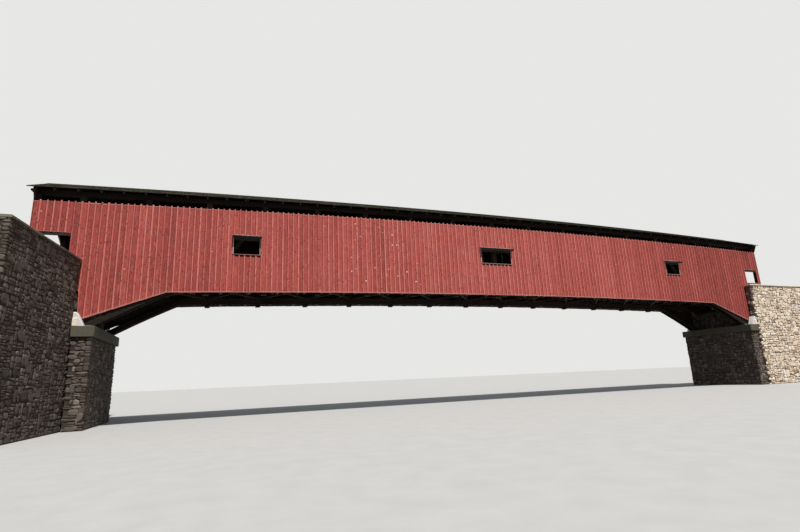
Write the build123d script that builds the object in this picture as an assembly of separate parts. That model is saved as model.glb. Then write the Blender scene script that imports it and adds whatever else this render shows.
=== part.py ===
"""A timber covered bridge on two masonry abutments, as a 1:2 scale model in millimetres.

Every size is half of the real bridge's. X runs along the bridge, Y across it, and Z is up from the
ground. Two arch trusses carry a plank floor: each truss has king posts clasped between twin lower
chord timbers, braces that lean to midspan, and two long arches that sandwich the posts and spring
from ledges on the abutments. Board walls with windows hang outside, under a shallow gable roof that
leaves a long open slot below its eaves. The floor, chords, walls and roof share one camber curve.
"""

import os
from math import atan2, cos, degrees, radians, sin, sqrt, tan

from build123d import *

# Overall sizes
bridge_half_width = 1250.0
clearance_under_wall = 3100.0
camber = 217.0

# Trusses
panel = 1470.0
panels_each_side = 8
end_bay = 990.0
post_width = 140.0
post_depth = 150.0
post_web = 40.0
post_foot_drop = 80.0
chord_bottom = 25.0
chord_depth = 200.0
chord_overrun = 540.0
upper_chord_bottom = 2475.0
upper_chord_depth = 150.0
upper_chord_width = 110.0
upper_chord_setback = 10.0
upper_chord_toe = 40.0
brace_depth = 110.0
brace_thickness = 80.0
brace_notch = 22.0
brace_heel_rise = 60.0
brace_head_drop = 150.0

# Arches
arch_thickness = 60.0
arch_depth = 150.0
arch_foot_gap = 175.0
arch_crown = 5350.0

# Walls
board_thickness = 14.0
nailer_thickness = 25.0
nailer_depth = 60.0
nailer_heights = (75.0, 900.0, 1640.0, 2220.0)
nailer_end_gap = 30.0
wall_height = 2295.0
wall_slope_run = 1875.0
wall_foot_gap = 25.0
wall_foot_drop = 660.0
wall_end_bottom = 50.0
window_sill = 1040.0
window_head = 1550.0
middle_window_width = 1130.0
side_window_width = 680.0
side_window_place = 7835.0
end_window_width = 700.0
end_window_margin = 150.0
end_window_sill = 950.0
end_window_head = 1500.0
hood_reach = 150.0
hood_fall = 50.0
hood_thickness = 18.0
hood_margin = 50.0
sill_reach = 22.0
sill_thickness = 28.0
sill_margin = 15.0

# Floor
floor_beam_width = 90.0
floor_beam_depth = 150.0
floor_beam_seat_gap = 3.0
plank_thickness = 50.0
floor_side_gap = 6.0
floor_section_count = 8
lower_brace_width = 60.0
lower_brace_depth = 45.0

# Roof
roof_thickness = 30.0
roof_section_count = 8
eave_overhang = 150.0
gable_overhang = 140.0
eave_height = 2600.0
ridge_height = 3225.0
rafters_per_panel = 3
rafter_width = 40.0
rafter_depth = 62.0
tie_width = 90.0
tie_depth = 110.0
knee_reach = 170.0
knee_depth = 55.0
knee_width = 55.0
upper_brace_width = 50.0
upper_brace_depth = 50.0

# Portals
portal_boards = 17
portal_board_gap = 2.0
portal_jamb_boards = 1
portal_spring = 1850.0
portal_crown = 2180.0
portal_post_size = 100.0
portal_post_inset = 20.0

# Abutments
breast_setback = 135.0
backwall_gap = 225.0
backwall_thickness = 200.0
masonry_side_gap = 25.0
ledge_reach = 475.0
ledge_top = 2325.0
ledge_cap_depth = 250.0
ledge_overhang = 50.0
ledge_side_reach = 250.0
thrust_block_height = 370.0
thrust_block_length = 120.0
thrust_block_margin = 25.0
end_block_height = 190.0
end_block_length = 110.0
end_block_gap = 12.0
end_block_width = 230.0
bed_timber_width = 200.0
bed_timber_depth = 70.0
bed_timber_setback = 55.0

# Wing walls
wing_thickness = 225.0
wing_top = 3950.0
right_wing_length = 3500.0
left_wing_length = 3250.0
left_wing_flare = 6.0
coping_thickness = 50.0
coping_overhang = 25.0

# Derived places
truss_half_length = panel * panels_each_side
wall_half_length = truss_half_length + end_bay
chord_half_length = truss_half_length + chord_overrun
breast_x = truss_half_length - breast_setback
breast_back_x = wall_half_length + backwall_gap
ledge_front_x = breast_x - ledge_reach
bed_timber_start = breast_x + bed_timber_setback
arch_foot_x = breast_x - arch_foot_gap
wall_foot_x = breast_x - wall_foot_gap
wall_slope_start = wall_foot_x - wall_slope_run
masonry_half_width = bridge_half_width + masonry_side_gap
ledge_half_width = masonry_half_width + ledge_side_reach
end_window_far = wall_half_length - end_window_margin
end_window_near = end_window_far - end_window_width
window_widths = {
    -side_window_place: side_window_width,
    0.0: middle_window_width,
    side_window_place: side_window_width,
}
camber_radius = (wall_half_length**2 + camber**2) / (2 * camber)
camber_centre = clearance_under_wall + camber - camber_radius
truss_offset = arch_thickness + post_depth / 2 + nailer_thickness + board_thickness
truss_y = bridge_half_width - truss_offset
post_inner_y = truss_y - post_depth / 2
wall_inner_y = bridge_half_width - board_thickness
chord_top = chord_bottom + chord_depth
beam_top = chord_top + floor_beam_depth
floor_top = beam_top + plank_thickness
roof_half_width = bridge_half_width + eave_overhang
roof_half_length = wall_half_length + gable_overhang
roof_pitch = atan2(ridge_height - eave_height, roof_half_width)
arch_foot_z = ledge_top
seat_height = clearance_under_wall + chord_bottom - bed_timber_depth
right_end_x = breast_x + right_wing_length
left_end_x = -(breast_back_x + backwall_thickness)
frame_shift = -(right_end_x + left_end_x) / 2
portal_board_pitch = 2 * (bridge_half_width - board_thickness) / portal_boards
portal_way_half_width = (portal_boards / 2 - portal_jamb_boards) * portal_board_pitch
post_places = [panel * i for i in range(-panels_each_side, panels_each_side + 1)]


def level(x, height):
    """Z of the camber curve that runs the given height above the wall's bottom edge."""
    return camber_centre + sqrt((camber_radius + height) ** 2 - x**2)


def slope_at(x):
    """The camber curve's angle from level at x, in degrees."""
    return -degrees(atan2(x, camber_radius))


def line(start, end):
    """A straight edge between two (x, z) points."""
    return Edge.make_line((start[0], 0, start[1]), (end[0], 0, end[1]))


def camber_edge(start_x, end_x, height):
    """An edge that follows the camber curve at the given height."""
    middle = (start_x + end_x) / 2
    points = [(x, 0, level(x, height)) for x in (start_x, middle, end_x)]
    return Edge.make_three_point_arc(*points)


def side_prism(edges, y_from, y_to):
    """The solid between two upright planes whose side view is the closed loop of edges."""
    face = Face(Wire(edges))
    solid = Solid.extrude(face, Vector(0, y_to - y_from, 0))
    return solid.moved(Location((0, y_from, 0)))


def side_polygon(points, y_from, y_to):
    """A side prism with straight edges."""
    closed = list(points) + [points[0]]
    return side_prism([line(a, b) for a, b in zip(closed, closed[1:])], y_from, y_to)


def camber_band(x_from, x_to, bottom, top, y_from, y_to):
    """A bar that follows the camber, with upright ends."""
    edges = [
        camber_edge(x_from, x_to, bottom),
        line((x_to, level(x_to, bottom)), (x_to, level(x_to, top))),
        camber_edge(x_to, x_from, top),
        line((x_from, level(x_from, top)), (x_from, level(x_from, bottom))),
    ]
    return side_prism(edges, y_from, y_to)


def block(x_from, x_to, y_from, y_to, z_from, z_to):
    """A rectangular block between opposite corners."""
    size = Box(x_to - x_from, y_to - y_from, z_to - z_from, align=(Align.MIN,) * 3)
    return size.moved(Location((x_from, y_from, z_from)))


def across_prism(points, x_from, x_to):
    """The solid between two planes square to the bridge whose end view is a (y, z) polygon."""
    face = Face(Wire.make_polygon([(0, y, z) for y, z in points], close=True))
    return Solid.extrude(face, Vector(x_to - x_from, 0, 0)).moved(Location((x_from, 0, 0)))


def mirrored_y(solid):
    """The same piece on the other side of the bridge."""
    return solid.mirror(Plane.XZ)


def brace(outer_x):
    """One truss brace, from the foot of an outer post to the head of the next post inwards."""
    side = 1 if outer_x > 0 else -1
    inner_x = outer_x - side * panel
    foot_x = outer_x - side * (post_width / 2 - brace_notch)
    head_x = inner_x + side * (post_width / 2 - brace_notch)
    foot_z = level(foot_x, chord_top + brace_heel_rise)
    head_z = level(head_x, upper_chord_bottom - brace_head_drop)
    length = sqrt((head_x - foot_x) ** 2 + (head_z - foot_z) ** 2)
    lean = degrees(atan2(head_z - foot_z, head_x - foot_x))
    bar = Box(length, brace_thickness, brace_depth)
    return bar.moved(
        Location(((foot_x + head_x) / 2, 0, (foot_z + head_z) / 2), (0, -lean, 0))
    )


def truss_braces():
    """The braces of one truss, centred on its own plane."""
    outer = [x for x in post_places if x]
    return [brace(x) for x in outer]


def truss_post(x, braces):
    """A king post with its foot clasped by the chord timbers and seats cut for the braces."""
    at_end = abs(x) > truss_half_length - panel / 2
    foot = chord_bottom if at_end else chord_bottom - post_foot_drop
    sides = (x - post_width / 2, x + post_width / 2)
    faces = (-post_depth / 2, post_depth / 2)
    post = camber_band(*sides, foot, upper_chord_bottom, *faces)
    for y_from, y_to in (
        (-post_depth / 2, -post_web / 2),
        (post_web / 2, post_depth / 2),
    ):
        notch_ends = (x - post_width, x + post_width)
        post -= camber_band(*notch_ends, chord_bottom, chord_top, y_from, y_to)
    for bar in braces:
        if abs(bar.center().X - x) < panel * 0.75:
            post -= bar
    return post.solid()


def arch_ring():
    """One arch, bounded by two concentric arcs that meet level faces on the ledges."""
    rise = arch_crown + arch_depth / 2 - arch_foot_z
    middle_radius = (arch_foot_x**2 + rise**2) / (2 * rise)
    centre_z = arch_foot_z + rise - middle_radius
    inner, outer = middle_radius - arch_depth / 2, middle_radius + arch_depth / 2

    def foot(radius):
        return sqrt(radius**2 - (arch_foot_z - centre_z) ** 2)

    def arc(radius, direction):
        x = foot(radius) * direction
        ends = (-x, 0, arch_foot_z), (0, 0, centre_z + radius), (x, 0, arch_foot_z)
        return Edge.make_three_point_arc(*ends)

    edges = [
        arc(inner, 1),
        line((foot(inner), arch_foot_z), (foot(outer), arch_foot_z)),
        arc(outer, -1),
        line((-foot(outer), arch_foot_z), (-foot(inner), arch_foot_z)),
    ]
    return side_prism(edges, 0, arch_thickness)


def wall():
    """One board wall, cut along the arch at its ends, with its windows cut through."""
    foot_z = level(wall_foot_x, 0) - wall_foot_drop
    right = wall_half_length
    edges = [camber_edge(-wall_slope_start, wall_slope_start, 0)]
    corners = [
        (wall_slope_start, level(wall_slope_start, 0)),
        (wall_foot_x, foot_z),
        (wall_foot_x, level(wall_foot_x, wall_end_bottom)),
    ]
    edges += [line(a, b) for a, b in zip(corners, corners[1:])]
    edges.append(camber_edge(wall_foot_x, right, wall_end_bottom))
    edges.append(line((right, level(right, wall_end_bottom)), (right, level(right, wall_height))))
    edges.append(camber_edge(right, -right, wall_height))
    edges.append(
        line((-right, level(right, wall_height)), (-right, level(right, wall_end_bottom)))
    )
    edges.append(camber_edge(-right, -wall_foot_x, wall_end_bottom))
    left = [(-x, z) for x, z in reversed(corners)]
    edges += [line(a, b) for a, b in zip(left, left[1:])]
    boards = side_prism(edges, wall_inner_y, bridge_half_width)
    for x, width in window_widths.items():
        boards -= wall_hole(x - width / 2, x + width / 2, window_sill, window_head)
    for side in (-1, 1):
        near, far = sorted((side * end_window_near, side * end_window_far))
        boards -= wall_hole(near, far, end_window_sill, end_window_head)
    return boards.solid()


def wall_hole(x_from, x_to, sill, head):
    """The block that cuts a window through a wall."""
    middle = (x_from + x_to) / 2
    z_from, z_to = level(middle, sill), level(middle, head)
    return block(x_from, x_to, wall_inner_y, bridge_half_width, z_from, z_to)


def nailers():
    """The long rails that the wall boards are nailed to."""
    half = wall_half_length - nailer_end_gap
    inner = wall_inner_y - nailer_thickness
    rails = []
    for height in nailer_heights:
        reach = wall_slope_start if height < wall_end_bottom + nailer_depth / 2 else half
        ends = (-reach, reach)
        rails.append(
            camber_band(
                *ends, height - nailer_depth / 2, height + nailer_depth / 2, inner, wall_inner_y
            )
        )
    return rails


def window_hood(x, width):
    """A sloping board over a window, held against the wall at its upper edge."""
    root = level(x, window_head)
    y = bridge_half_width
    half = width / 2 + hood_margin
    profile = [
        (y, root + hood_fall),
        (y + hood_reach, root),
        (y + hood_reach, root + hood_thickness),
        (y, root + hood_fall + hood_thickness),
    ]
    return across_prism(profile, x - half, x + half)


def window_sill_board(x, width):
    """The projecting board below a window, its top flush with the opening's bottom."""
    top = level(x, window_sill)
    half = width / 2 + sill_margin
    y = bridge_half_width
    return block(x - half, x + half, y, y + sill_reach, top - sill_thickness, top)


def floor_beams(arch):
    """Cross beams between the trusses, seated on the inner chord timbers, clear of the posts."""
    reach = truss_y - brace_thickness / 2 - floor_beam_seat_gap
    beams = []
    for i in range(-2 * panels_each_side, 2 * panels_each_side):
        x = (i + 0.5) * panel / 2
        half = floor_beam_width / 2
        beam = camber_band(x - half, x + half, chord_top, beam_top, -reach, reach)
        pieces = (beam - arch - mirrored_y(arch)).solids()
        beams.append(max(pieces, key=lambda piece: piece.volume))
    return beams


def lattice(width, half_span, bottom, top):
    """Crossed flat braces in every panel, following the camber between two heights."""
    reach = sqrt(panel**2 + (2 * half_span) ** 2)
    lean = degrees(atan2(2 * half_span, panel))
    tall = 4 * camber + top - bottom
    bars = None
    for x in post_places[:-1]:
        for turn in (lean, -lean):
            bar = Box(reach + panel, width, tall)
            place = Location((x + panel / 2, 0, level(x, bottom)), (0, 0, turn))
            bars = bar.moved(place) if bars is None else bars + bar.moved(place)
    ends = (-truss_half_length, truss_half_length)
    frame = camber_band(*ends, bottom, top, -half_span, half_span)
    return (bars & frame).solids()


def floor():
    """The plank floor between the arches, from portal to portal, in sections laid end to end."""
    half_width = post_inner_y - arch_thickness - floor_side_gap
    joints = section_joints(wall_half_length, floor_section_count)
    return [
        camber_band(*ends, beam_top, floor_top, -half_width, half_width)
        for ends in zip(joints, joints[1:])
    ]


def section_joints(half_length, count):
    """The ends of equal sections that together run from end to end."""
    return [half_length * (2 * i / count - 1) for i in range(count + 1)]


def roof_z(y, drop):
    """Height of the roof's top face above the wall's bottom edge, less a square drop."""
    return ridge_height - abs(y) * tan(roof_pitch) - drop / cos(roof_pitch)


def camber_sweep(points, x_from, x_to):
    """The solid whose end view is a (y, height) polygon, carried along the camber curve."""
    face = Face(
        Wire.make_polygon([(0, y, level(0, height)) for y, height in points], close=True)
    )
    axis = Axis((0, 0, camber_centre), (0, 1, 0))
    start, end = slope_at(x_from), slope_at(x_to)
    return Solid.revolve(face.rotate(axis, -start), start - end, axis)


def trimmed_sweep(points, x_from, x_to):
    """A camber sweep with upright ends."""
    swept = camber_sweep(points, x_from - camber, x_to + camber)
    width = 2 * roof_half_width
    trim = block(x_from, x_to, -width, width, 0, 2 * level(0, ridge_height))
    return (swept & trim).solid()


def roof_slope():
    """One side of the roof, from its eave to the ridge plane, in sections laid end to end."""
    corners = [
        (roof_half_width, roof_z(roof_half_width, 0)),
        (roof_half_width, roof_z(roof_half_width, roof_thickness)),
        (0, roof_z(0, roof_thickness)),
        (0, roof_z(0, 0)),
    ]
    joints = section_joints(roof_half_length, roof_section_count)
    return [trimmed_sweep(corners, *ends) for ends in zip(joints, joints[1:])]


def rafter_pairs():
    """Rafters under both slopes, joined at the ridge."""
    pitch = panel / rafters_per_panel
    count = int((wall_half_length - rafter_width) / pitch)
    tail = roof_half_width - rafter_width / 2
    pairs = []
    for i in range(-count, count + 1):
        x = i * pitch
        top, low = roof_thickness, roof_thickness + rafter_depth
        heights = [
            (tail, roof_z(tail, top)),
            (tail, roof_z(tail, low)),
            (0, roof_z(0, low)),
            (-tail, roof_z(tail, low)),
            (-tail, roof_z(tail, top)),
            (0, roof_z(0, top)),
        ]
        pairs.append(camber_sweep(heights, x - rafter_width / 2, x + rafter_width / 2))
    return pairs


def upper_chord():
    """The plate on the post heads, bevelled for the rafters and cut aslant under the gables."""
    half = upper_chord_width / 2
    y_in, y_out = truss_y - half, truss_y + half
    seat = roof_thickness + rafter_depth
    corners = [
        (y_in, upper_chord_bottom),
        (y_out, upper_chord_bottom),
        (y_out, roof_z(y_out, seat)),
        (y_in, roof_z(y_in, seat)),
    ]
    half_length = roof_half_length - upper_chord_setback
    chord = trimmed_sweep(corners, -half_length, half_length)
    bottom, toe = level(wall_half_length, upper_chord_bottom), upper_chord_depth - upper_chord_toe
    for side in (-1, 1):
        near, far = side * wall_half_length, side * (half_length + upper_chord_setback)
        cut = [(near, bottom), (far, bottom + toe), (far, bottom - camber), (near, bottom - camber)]
        chord -= side_polygon(cut, y_in, y_out)
    return chord.solid()


def tie_beams():
    """Cross ties between the post heads, below the upper chords."""
    half = tie_width / 2
    return [
        camber_band(
            x - half,
            x + half,
            upper_chord_bottom - tie_depth,
            upper_chord_bottom,
            -post_inner_y,
            post_inner_y,
        )
        for x in post_places
    ]


def knee_brace(x):
    """A short strut in the corner between a post and its tie beam."""
    top = upper_chord_bottom - tie_depth
    y = post_inner_y
    profile = [
        (y, top - knee_reach),
        (y - knee_reach, top),
        (y - knee_reach + knee_depth * sqrt(2), top),
        (y, top - knee_reach + knee_depth * sqrt(2)),
    ]
    return camber_sweep(profile, x - knee_width / 2, x + knee_width / 2)


def portal(side):
    """The upright boards of a gable with an arched carriageway."""
    outer, inner = side * wall_half_length, side * (wall_half_length - board_thickness)
    x_from, x_to = sorted((outer, inner))
    x = wall_half_length
    under_roof = roof_thickness
    gable = [
        (-wall_inner_y, level(x, wall_end_bottom)),
        (wall_inner_y, level(x, wall_end_bottom)),
        (wall_inner_y, level(x, roof_z(wall_inner_y, under_roof))),
        (0, level(x, roof_z(0, under_roof))),
        (-wall_inner_y, level(x, roof_z(wall_inner_y, under_roof))),
    ]
    boards = across_prism(gable, x_from, x_to)
    half = portal_way_half_width
    spring, crown = level(x, portal_spring), level(x, portal_crown)
    low = level(x, 0)
    edges = [
        Edge.make_line((0, -half, low), (0, half, low)),
        Edge.make_line((0, half, low), (0, half, spring)),
        Edge.make_three_point_arc((0, half, spring), (0, 0, crown), (0, -half, spring)),
        Edge.make_line((0, -half, spring), (0, -half, low)),
    ]
    way = Solid.extrude(Face(Wire(edges)), Vector(x_to - x_from, 0, 0))
    boards -= way.moved(Location((x_from, 0, 0)))
    cut_y = post_inner_y - arch_thickness
    boards -= block(x_from, x_to, -cut_y, cut_y, 0, level(x, floor_top))
    plate = upper_chord()
    boards -= plate
    boards -= mirrored_y(plate)
    top = level(x, ridge_height)
    reach = (portal_board_pitch - portal_board_gap) / 2
    centres = [(i - (portal_boards - 1) / 2) * portal_board_pitch for i in range(portal_boards)]
    slices = [block(x_from, x_to, y - reach, y + reach, 0, top) for y in centres]
    return [(boards & board).solid() for board in slices]


def portal_posts():
    """The four corner posts behind the portal boards."""
    posts = []
    for side in (-1, 1):
        outer = wall_half_length - board_thickness
        x_from, x_to = sorted((side * outer, side * (outer - portal_post_size)))
        y_out = wall_inner_y - nailer_thickness - portal_post_inset
        y_in = y_out - portal_post_size
        top = level(outer, upper_chord_bottom)
        post = block(x_from, x_to, y_in, y_out, seat_height, top)
        posts += [post, mirrored_y(post)]
    return posts


def bed_timbers():
    """The cross timbers on the abutments that carry the chord ends."""
    reach = truss_y + post_depth / 2
    timbers = []
    for side in (-1, 1):
        ends = sorted((side * bed_timber_start, side * (bed_timber_start + bed_timber_width)))
        raw = block(*ends, -reach, reach, seat_height, level(0, chord_bottom))
        overlap = (ends[0] - camber, ends[1] + camber)
        above = camber_band(*overlap, chord_bottom, chord_top + camber, -reach, reach)
        timbers.append((raw - above).solid())
    return timbers


def abutment(side):
    """The masonry under one end: a tall breast with a seat and a back wall up to the road."""
    back = breast_back_x
    profile = [
        (breast_x, 0),
        (back + backwall_thickness, 0),
        (back + backwall_thickness, level(wall_half_length, floor_top)),
        (back, level(wall_half_length, floor_top)),
        (back, seat_height),
        (breast_x, seat_height),
    ]
    points = [(side * x, z) for x, z in profile]
    return side_polygon(points, -masonry_half_width, masonry_half_width)


def ledge_base(side):
    """The masonry below the ledge."""
    ends = sorted((side * (ledge_front_x + ledge_overhang), side * breast_x))
    half = ledge_half_width - ledge_overhang
    return block(*ends, -half, half, 0, ledge_top - ledge_cap_depth)


def ledge_cap(side):
    """The concrete ledge that the arches spring from."""
    ends = sorted((side * ledge_front_x, side * breast_x))
    half = ledge_half_width
    return block(*ends, -half, half, ledge_top - ledge_cap_depth, ledge_top)


def thrust_blocks(side, arches):
    """Blocks behind the arch feet, shaped to the arches' backs, and blocks beside the walls."""
    ends = sorted((side * (breast_x - thrust_block_length), side * breast_x))
    y_in = post_inner_y - arch_thickness - thrust_block_margin
    y_out = wall_inner_y - thrust_block_margin / 2
    raw = block(*ends, y_in, y_out, ledge_top, ledge_top + thrust_block_height)
    for arch in arches:
        raw -= arch
    shaped = max(raw.solids(), key=lambda piece: piece.volume)
    y_near = bridge_half_width + end_block_gap
    foot = sorted((side * (breast_x - end_block_length), side * breast_x))
    beside = block(*foot, y_near, y_near + end_block_width, ledge_top, ledge_top + end_block_height)
    return [shaped, mirrored_y(shaped), beside, mirrored_y(beside)]


def right_wing():
    """A wing wall beside the road on the right bank."""
    y_out = masonry_half_width + wing_thickness
    top = wing_top - coping_thickness
    return block(breast_x, right_end_x, masonry_half_width, y_out, 0, top)


def right_coping():
    """The coping on a right wing wall."""
    y_out = masonry_half_width + wing_thickness + coping_overhang
    z = wing_top - coping_thickness
    return block(breast_x, right_end_x, masonry_half_width, y_out, z, wing_top)


def left_wing_slab(extra, z_from, z_to):
    """A slab along a left wing wall, widened by extra on both faces."""
    run = Box(
        wing_thickness + 2 * extra,
        left_wing_length + wing_thickness,
        z_to - z_from,
        align=(Align.MIN, Align.MIN, Align.MIN),
    )
    start = Location((-breast_x - wing_thickness - extra, masonry_half_width, z_from))
    hinge = Axis((-breast_x, masonry_half_width, 0), (0, 0, 1))
    turned = run.moved(start).rotate(hinge, left_wing_flare)
    keep = block(
        -breast_x - left_wing_length,
        -breast_x + extra,
        masonry_half_width,
        masonry_half_width + left_wing_length,
        z_from,
        z_to,
    )
    return (turned & keep).solid()


def left_wing():
    """A wing wall along the left bank, swept back from the face of the breast."""
    return left_wing_slab(0, 0, wing_top - coping_thickness)


def left_coping():
    """The coping on a left wing wall."""
    return left_wing_slab(coping_overhang, wing_top - coping_thickness, wing_top)


def build():
    """Every node of the bridge, by name."""
    braces = truss_braces()
    posts = [truss_post(x, braces) for x in post_places]
    outer_arch = arch_ring().moved(Location((0, truss_y + post_depth / 2, 0)))
    inner_arch = arch_ring().moved(Location((0, post_inner_y - arch_thickness, 0)))
    chord_ends = (-chord_half_length, chord_half_length)
    chords = [
        camber_band(*chord_ends, chord_bottom, chord_top, truss_y + y_from, truss_y + y_to)
        for y_from, y_to in (
            (-post_depth / 2, -post_web / 2),
            (post_web / 2, post_depth / 2),
        )
    ]
    in_truss = Location((0, truss_y, 0))
    back_side = {
        "wall": [wall()],
        "nailers": nailers(),
        "posts": [post.moved(in_truss) for post in posts],
        "braces": [bar.moved(in_truss) for bar in braces],
        "lower_chord": chords,
        "upper_chord": [upper_chord()],
        "outer_arch": [outer_arch],
        "inner_arch": [inner_arch],
        "roof": roof_slope(),
    }
    nodes = {}
    for name, solids in back_side.items():
        nodes[f"back_{name}"] = solids
        nodes[f"front_{name}"] = [mirrored_y(solid) for solid in solids]
    hoods = [window_hood(x, width) for x, width in window_widths.items()]
    sills = [window_sill_board(x, width) for x, width in window_widths.items()]
    nodes["window_hoods"] = hoods + [mirrored_y(hood) for hood in hoods]
    nodes["window_sills"] = sills + [mirrored_y(sill) for sill in sills]
    nodes["floor_beams"] = floor_beams(inner_arch)
    nodes["floor_planks"] = floor()
    clear_span = post_inner_y - arch_thickness - floor_side_gap
    nodes["lower_bracing"] = lattice(
        lower_brace_width, clear_span, chord_top - lower_brace_depth, chord_top
    )
    nodes["tie_beams"] = tie_beams()
    nodes["upper_bracing"] = lattice(
        upper_brace_width,
        truss_y - upper_chord_width / 2,
        upper_chord_bottom,
        upper_chord_bottom + upper_brace_depth,
    )
    knees = [knee_brace(x) for x in post_places]
    nodes["knee_braces"] = knees + [mirrored_y(knee) for knee in knees]
    nodes["rafters"] = rafter_pairs()
    nodes["portal_posts"] = portal_posts()
    nodes["bed_timbers"] = bed_timbers()
    for name, side in (("left", -1), ("right", 1)):
        nodes[f"{name}_portal"] = portal(side)
        nodes[f"{name}_abutment"] = [abutment(side)]
        nodes[f"{name}_ledge_base"] = [ledge_base(side)]
        nodes[f"{name}_ledge_cap"] = [ledge_cap(side)]
    arches = (inner_arch, outer_arch)
    nodes["thrust_blocks"] = thrust_blocks(-1, arches) + thrust_blocks(1, arches)
    for name, piece in (("right_wing", right_wing()), ("left_wing", left_wing())):
        nodes[f"back_{name}"] = [piece]
        nodes[f"front_{name}"] = [mirrored_y(piece)]
    for name, piece in (("right_coping", right_coping()), ("left_coping", left_coping())):
        nodes[name] = [piece, mirrored_y(piece)]
    return nodes


def main():
    """Write one STEP file for each node, with the origin under the whole part's middle."""
    os.makedirs("parts", exist_ok=True)
    to_frame = Location((frame_shift, 0, 0))
    for name, solids in build().items():
        placed = [solid.moved(to_frame) for solid in solids]
        shape = placed[0] if len(placed) == 1 else Compound(children=placed)
        export_step(shape, f"parts/{name}.step")


main()
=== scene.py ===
"""The visual model of a timber covered bridge at half size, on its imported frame.

Most pieces are laid out in flat bridge coordinates (distance from midspan, distance across, height
above the wall's bottom edge) and then bent onto the one camber curve that the whole bridge follows.
New pieces are closed rings of points carried from station to station, worked out as whole arrays.
Timbers that keep their CAD form are copied with their doubles merged, so that their edges can be
worn and each timber can have a tone and a grain direction of its own. Lengths are in metres.
"""

import logging
import math
from dataclasses import dataclass, replace
from enum import Enum
from functools import cache
from typing import Iterator, Mapping, Optional, Sequence, Union

import bpy
import numpy as np
from mathutils import Matrix, Vector


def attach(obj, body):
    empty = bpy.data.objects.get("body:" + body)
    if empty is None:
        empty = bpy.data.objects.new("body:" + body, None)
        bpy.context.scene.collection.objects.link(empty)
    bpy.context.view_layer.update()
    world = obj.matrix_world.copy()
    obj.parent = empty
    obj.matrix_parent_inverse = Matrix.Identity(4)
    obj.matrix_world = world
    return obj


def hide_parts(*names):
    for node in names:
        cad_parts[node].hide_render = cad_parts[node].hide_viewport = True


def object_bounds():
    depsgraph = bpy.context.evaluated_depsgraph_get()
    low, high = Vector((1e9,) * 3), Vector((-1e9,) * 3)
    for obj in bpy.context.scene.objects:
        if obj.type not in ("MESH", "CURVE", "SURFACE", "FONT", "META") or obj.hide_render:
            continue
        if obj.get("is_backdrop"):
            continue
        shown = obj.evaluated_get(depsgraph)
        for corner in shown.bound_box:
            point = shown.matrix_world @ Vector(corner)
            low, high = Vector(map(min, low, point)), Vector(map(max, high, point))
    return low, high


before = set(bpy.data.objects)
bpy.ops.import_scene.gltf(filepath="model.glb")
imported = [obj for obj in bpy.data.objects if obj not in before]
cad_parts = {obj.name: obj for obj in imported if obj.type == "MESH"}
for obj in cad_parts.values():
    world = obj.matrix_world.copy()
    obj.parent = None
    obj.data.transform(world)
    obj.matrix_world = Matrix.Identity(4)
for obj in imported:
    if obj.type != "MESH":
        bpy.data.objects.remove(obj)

Array = np.ndarray
Pair = tuple[float, float]
Colour = tuple[float, float, float]
Socket = bpy.types.NodeSocket
Material = bpy.types.Material

log = logging.getLogger("bridge")
BODY = "root"
FRAME, TRIM, RUBBLE = "frame_timber", "weathered_trim", "rubble_stone"
GOLDEN = 0.6180339887  # multiples of it, less their whole part, never fall together
SLIVER = 1e-4  # lengths under this are no length


class Half(Enum):
    """One of two like halves of the bridge, by its sign."""

    @property
    def label(self) -> str:
        """Its name in the names of pieces."""
        return self.name.lower()


class Side(Half):
    """The two long sides of the bridge."""

    FRONT = -1
    BACK = 1


class Bank(Half):
    """The two ends of the bridge."""

    LEFT = -1
    RIGHT = 1


def arc_radius(half: float, rise: float) -> float:
    """Radius of an arc over a chord of twice half: (half^2 + rise^2) / (2 rise)."""
    return (half**2 + rise**2) / (2 * rise)


@dataclass(frozen=True)
class Camber:
    """The arc that the long pieces follow.

    Attributes:
        middle: X of midspan in the row frame.
        half_length: half the wall's length.
        rise: how far midspan stands above the ends.
        ends: height of the wall's bottom edge at its ends.
    """

    middle: float = -0.975
    half_length: float = 12.75
    rise: float = 0.217
    ends: float = 3.1

    @property
    def radius(self) -> float:
        """Radius of the arc of the wall's bottom edge."""
        return arc_radius(self.half_length, self.rise)

    @property
    def centre(self) -> float:
        """Row Z of the arc's centre."""
        return self.ends + self.rise - self.radius

    def z(self, x: Array, height: Array) -> Array:
        """Row Z of a height: the centre's Z plus the root of (radius + height)^2 less x^2."""
        return self.centre + np.sqrt((self.radius + height) ** 2 - np.square(x))

    def height(self, x: Array, z: Array) -> Array:
        """The inverse of z: how far a level line stands outside the arc at x."""
        return np.sqrt((z - self.centre) ** 2 + np.square(x)) - self.radius

    def bend(self, flat: Array) -> Array:
        """Row coordinates of flat ones: X is moved to the row frame and Z is taken from the arc."""
        x, y, height = np.moveaxis(flat, -1, 0)
        return np.stack([x + self.middle, y, self.z(x, height)], axis=-1)


CAMBER = Camber()


def stacked(*axes: Union[Array, float]) -> Array:
    """Coordinates that broadcast together, as the last axis of one array."""
    return np.stack(np.broadcast_arrays(*axes), -1)


def between(low: Array, high: Array, shares: Sequence[float]) -> Array:
    """Heights (items, stations, points) at shares of the way from low to high (items, points)."""
    share = np.array(shares)[:, None]
    return low[:, None] * (1 - share) + high[:, None] * share


def mirrored(points: Array) -> Array:
    """The points and their mirror image across the bridge."""
    return np.concatenate([points, points * np.array([1.0, -1.0, 1.0])])


def gapped(edges: Array, gap: float) -> tuple[Array, Array]:
    """Both sides of what lies between neighbouring edges, each moved in by a gap."""
    return edges[:-1] + gap, edges[1:] - gap


def tones_about(
    rng: np.random.Generator, middle: Union[float, Array], spread: float, count: int
) -> Array:
    """Tones scattered about a middle one, kept from 0 to 1."""
    return np.clip(rng.normal(middle, spread, count), 0.0, 1.0)


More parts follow.
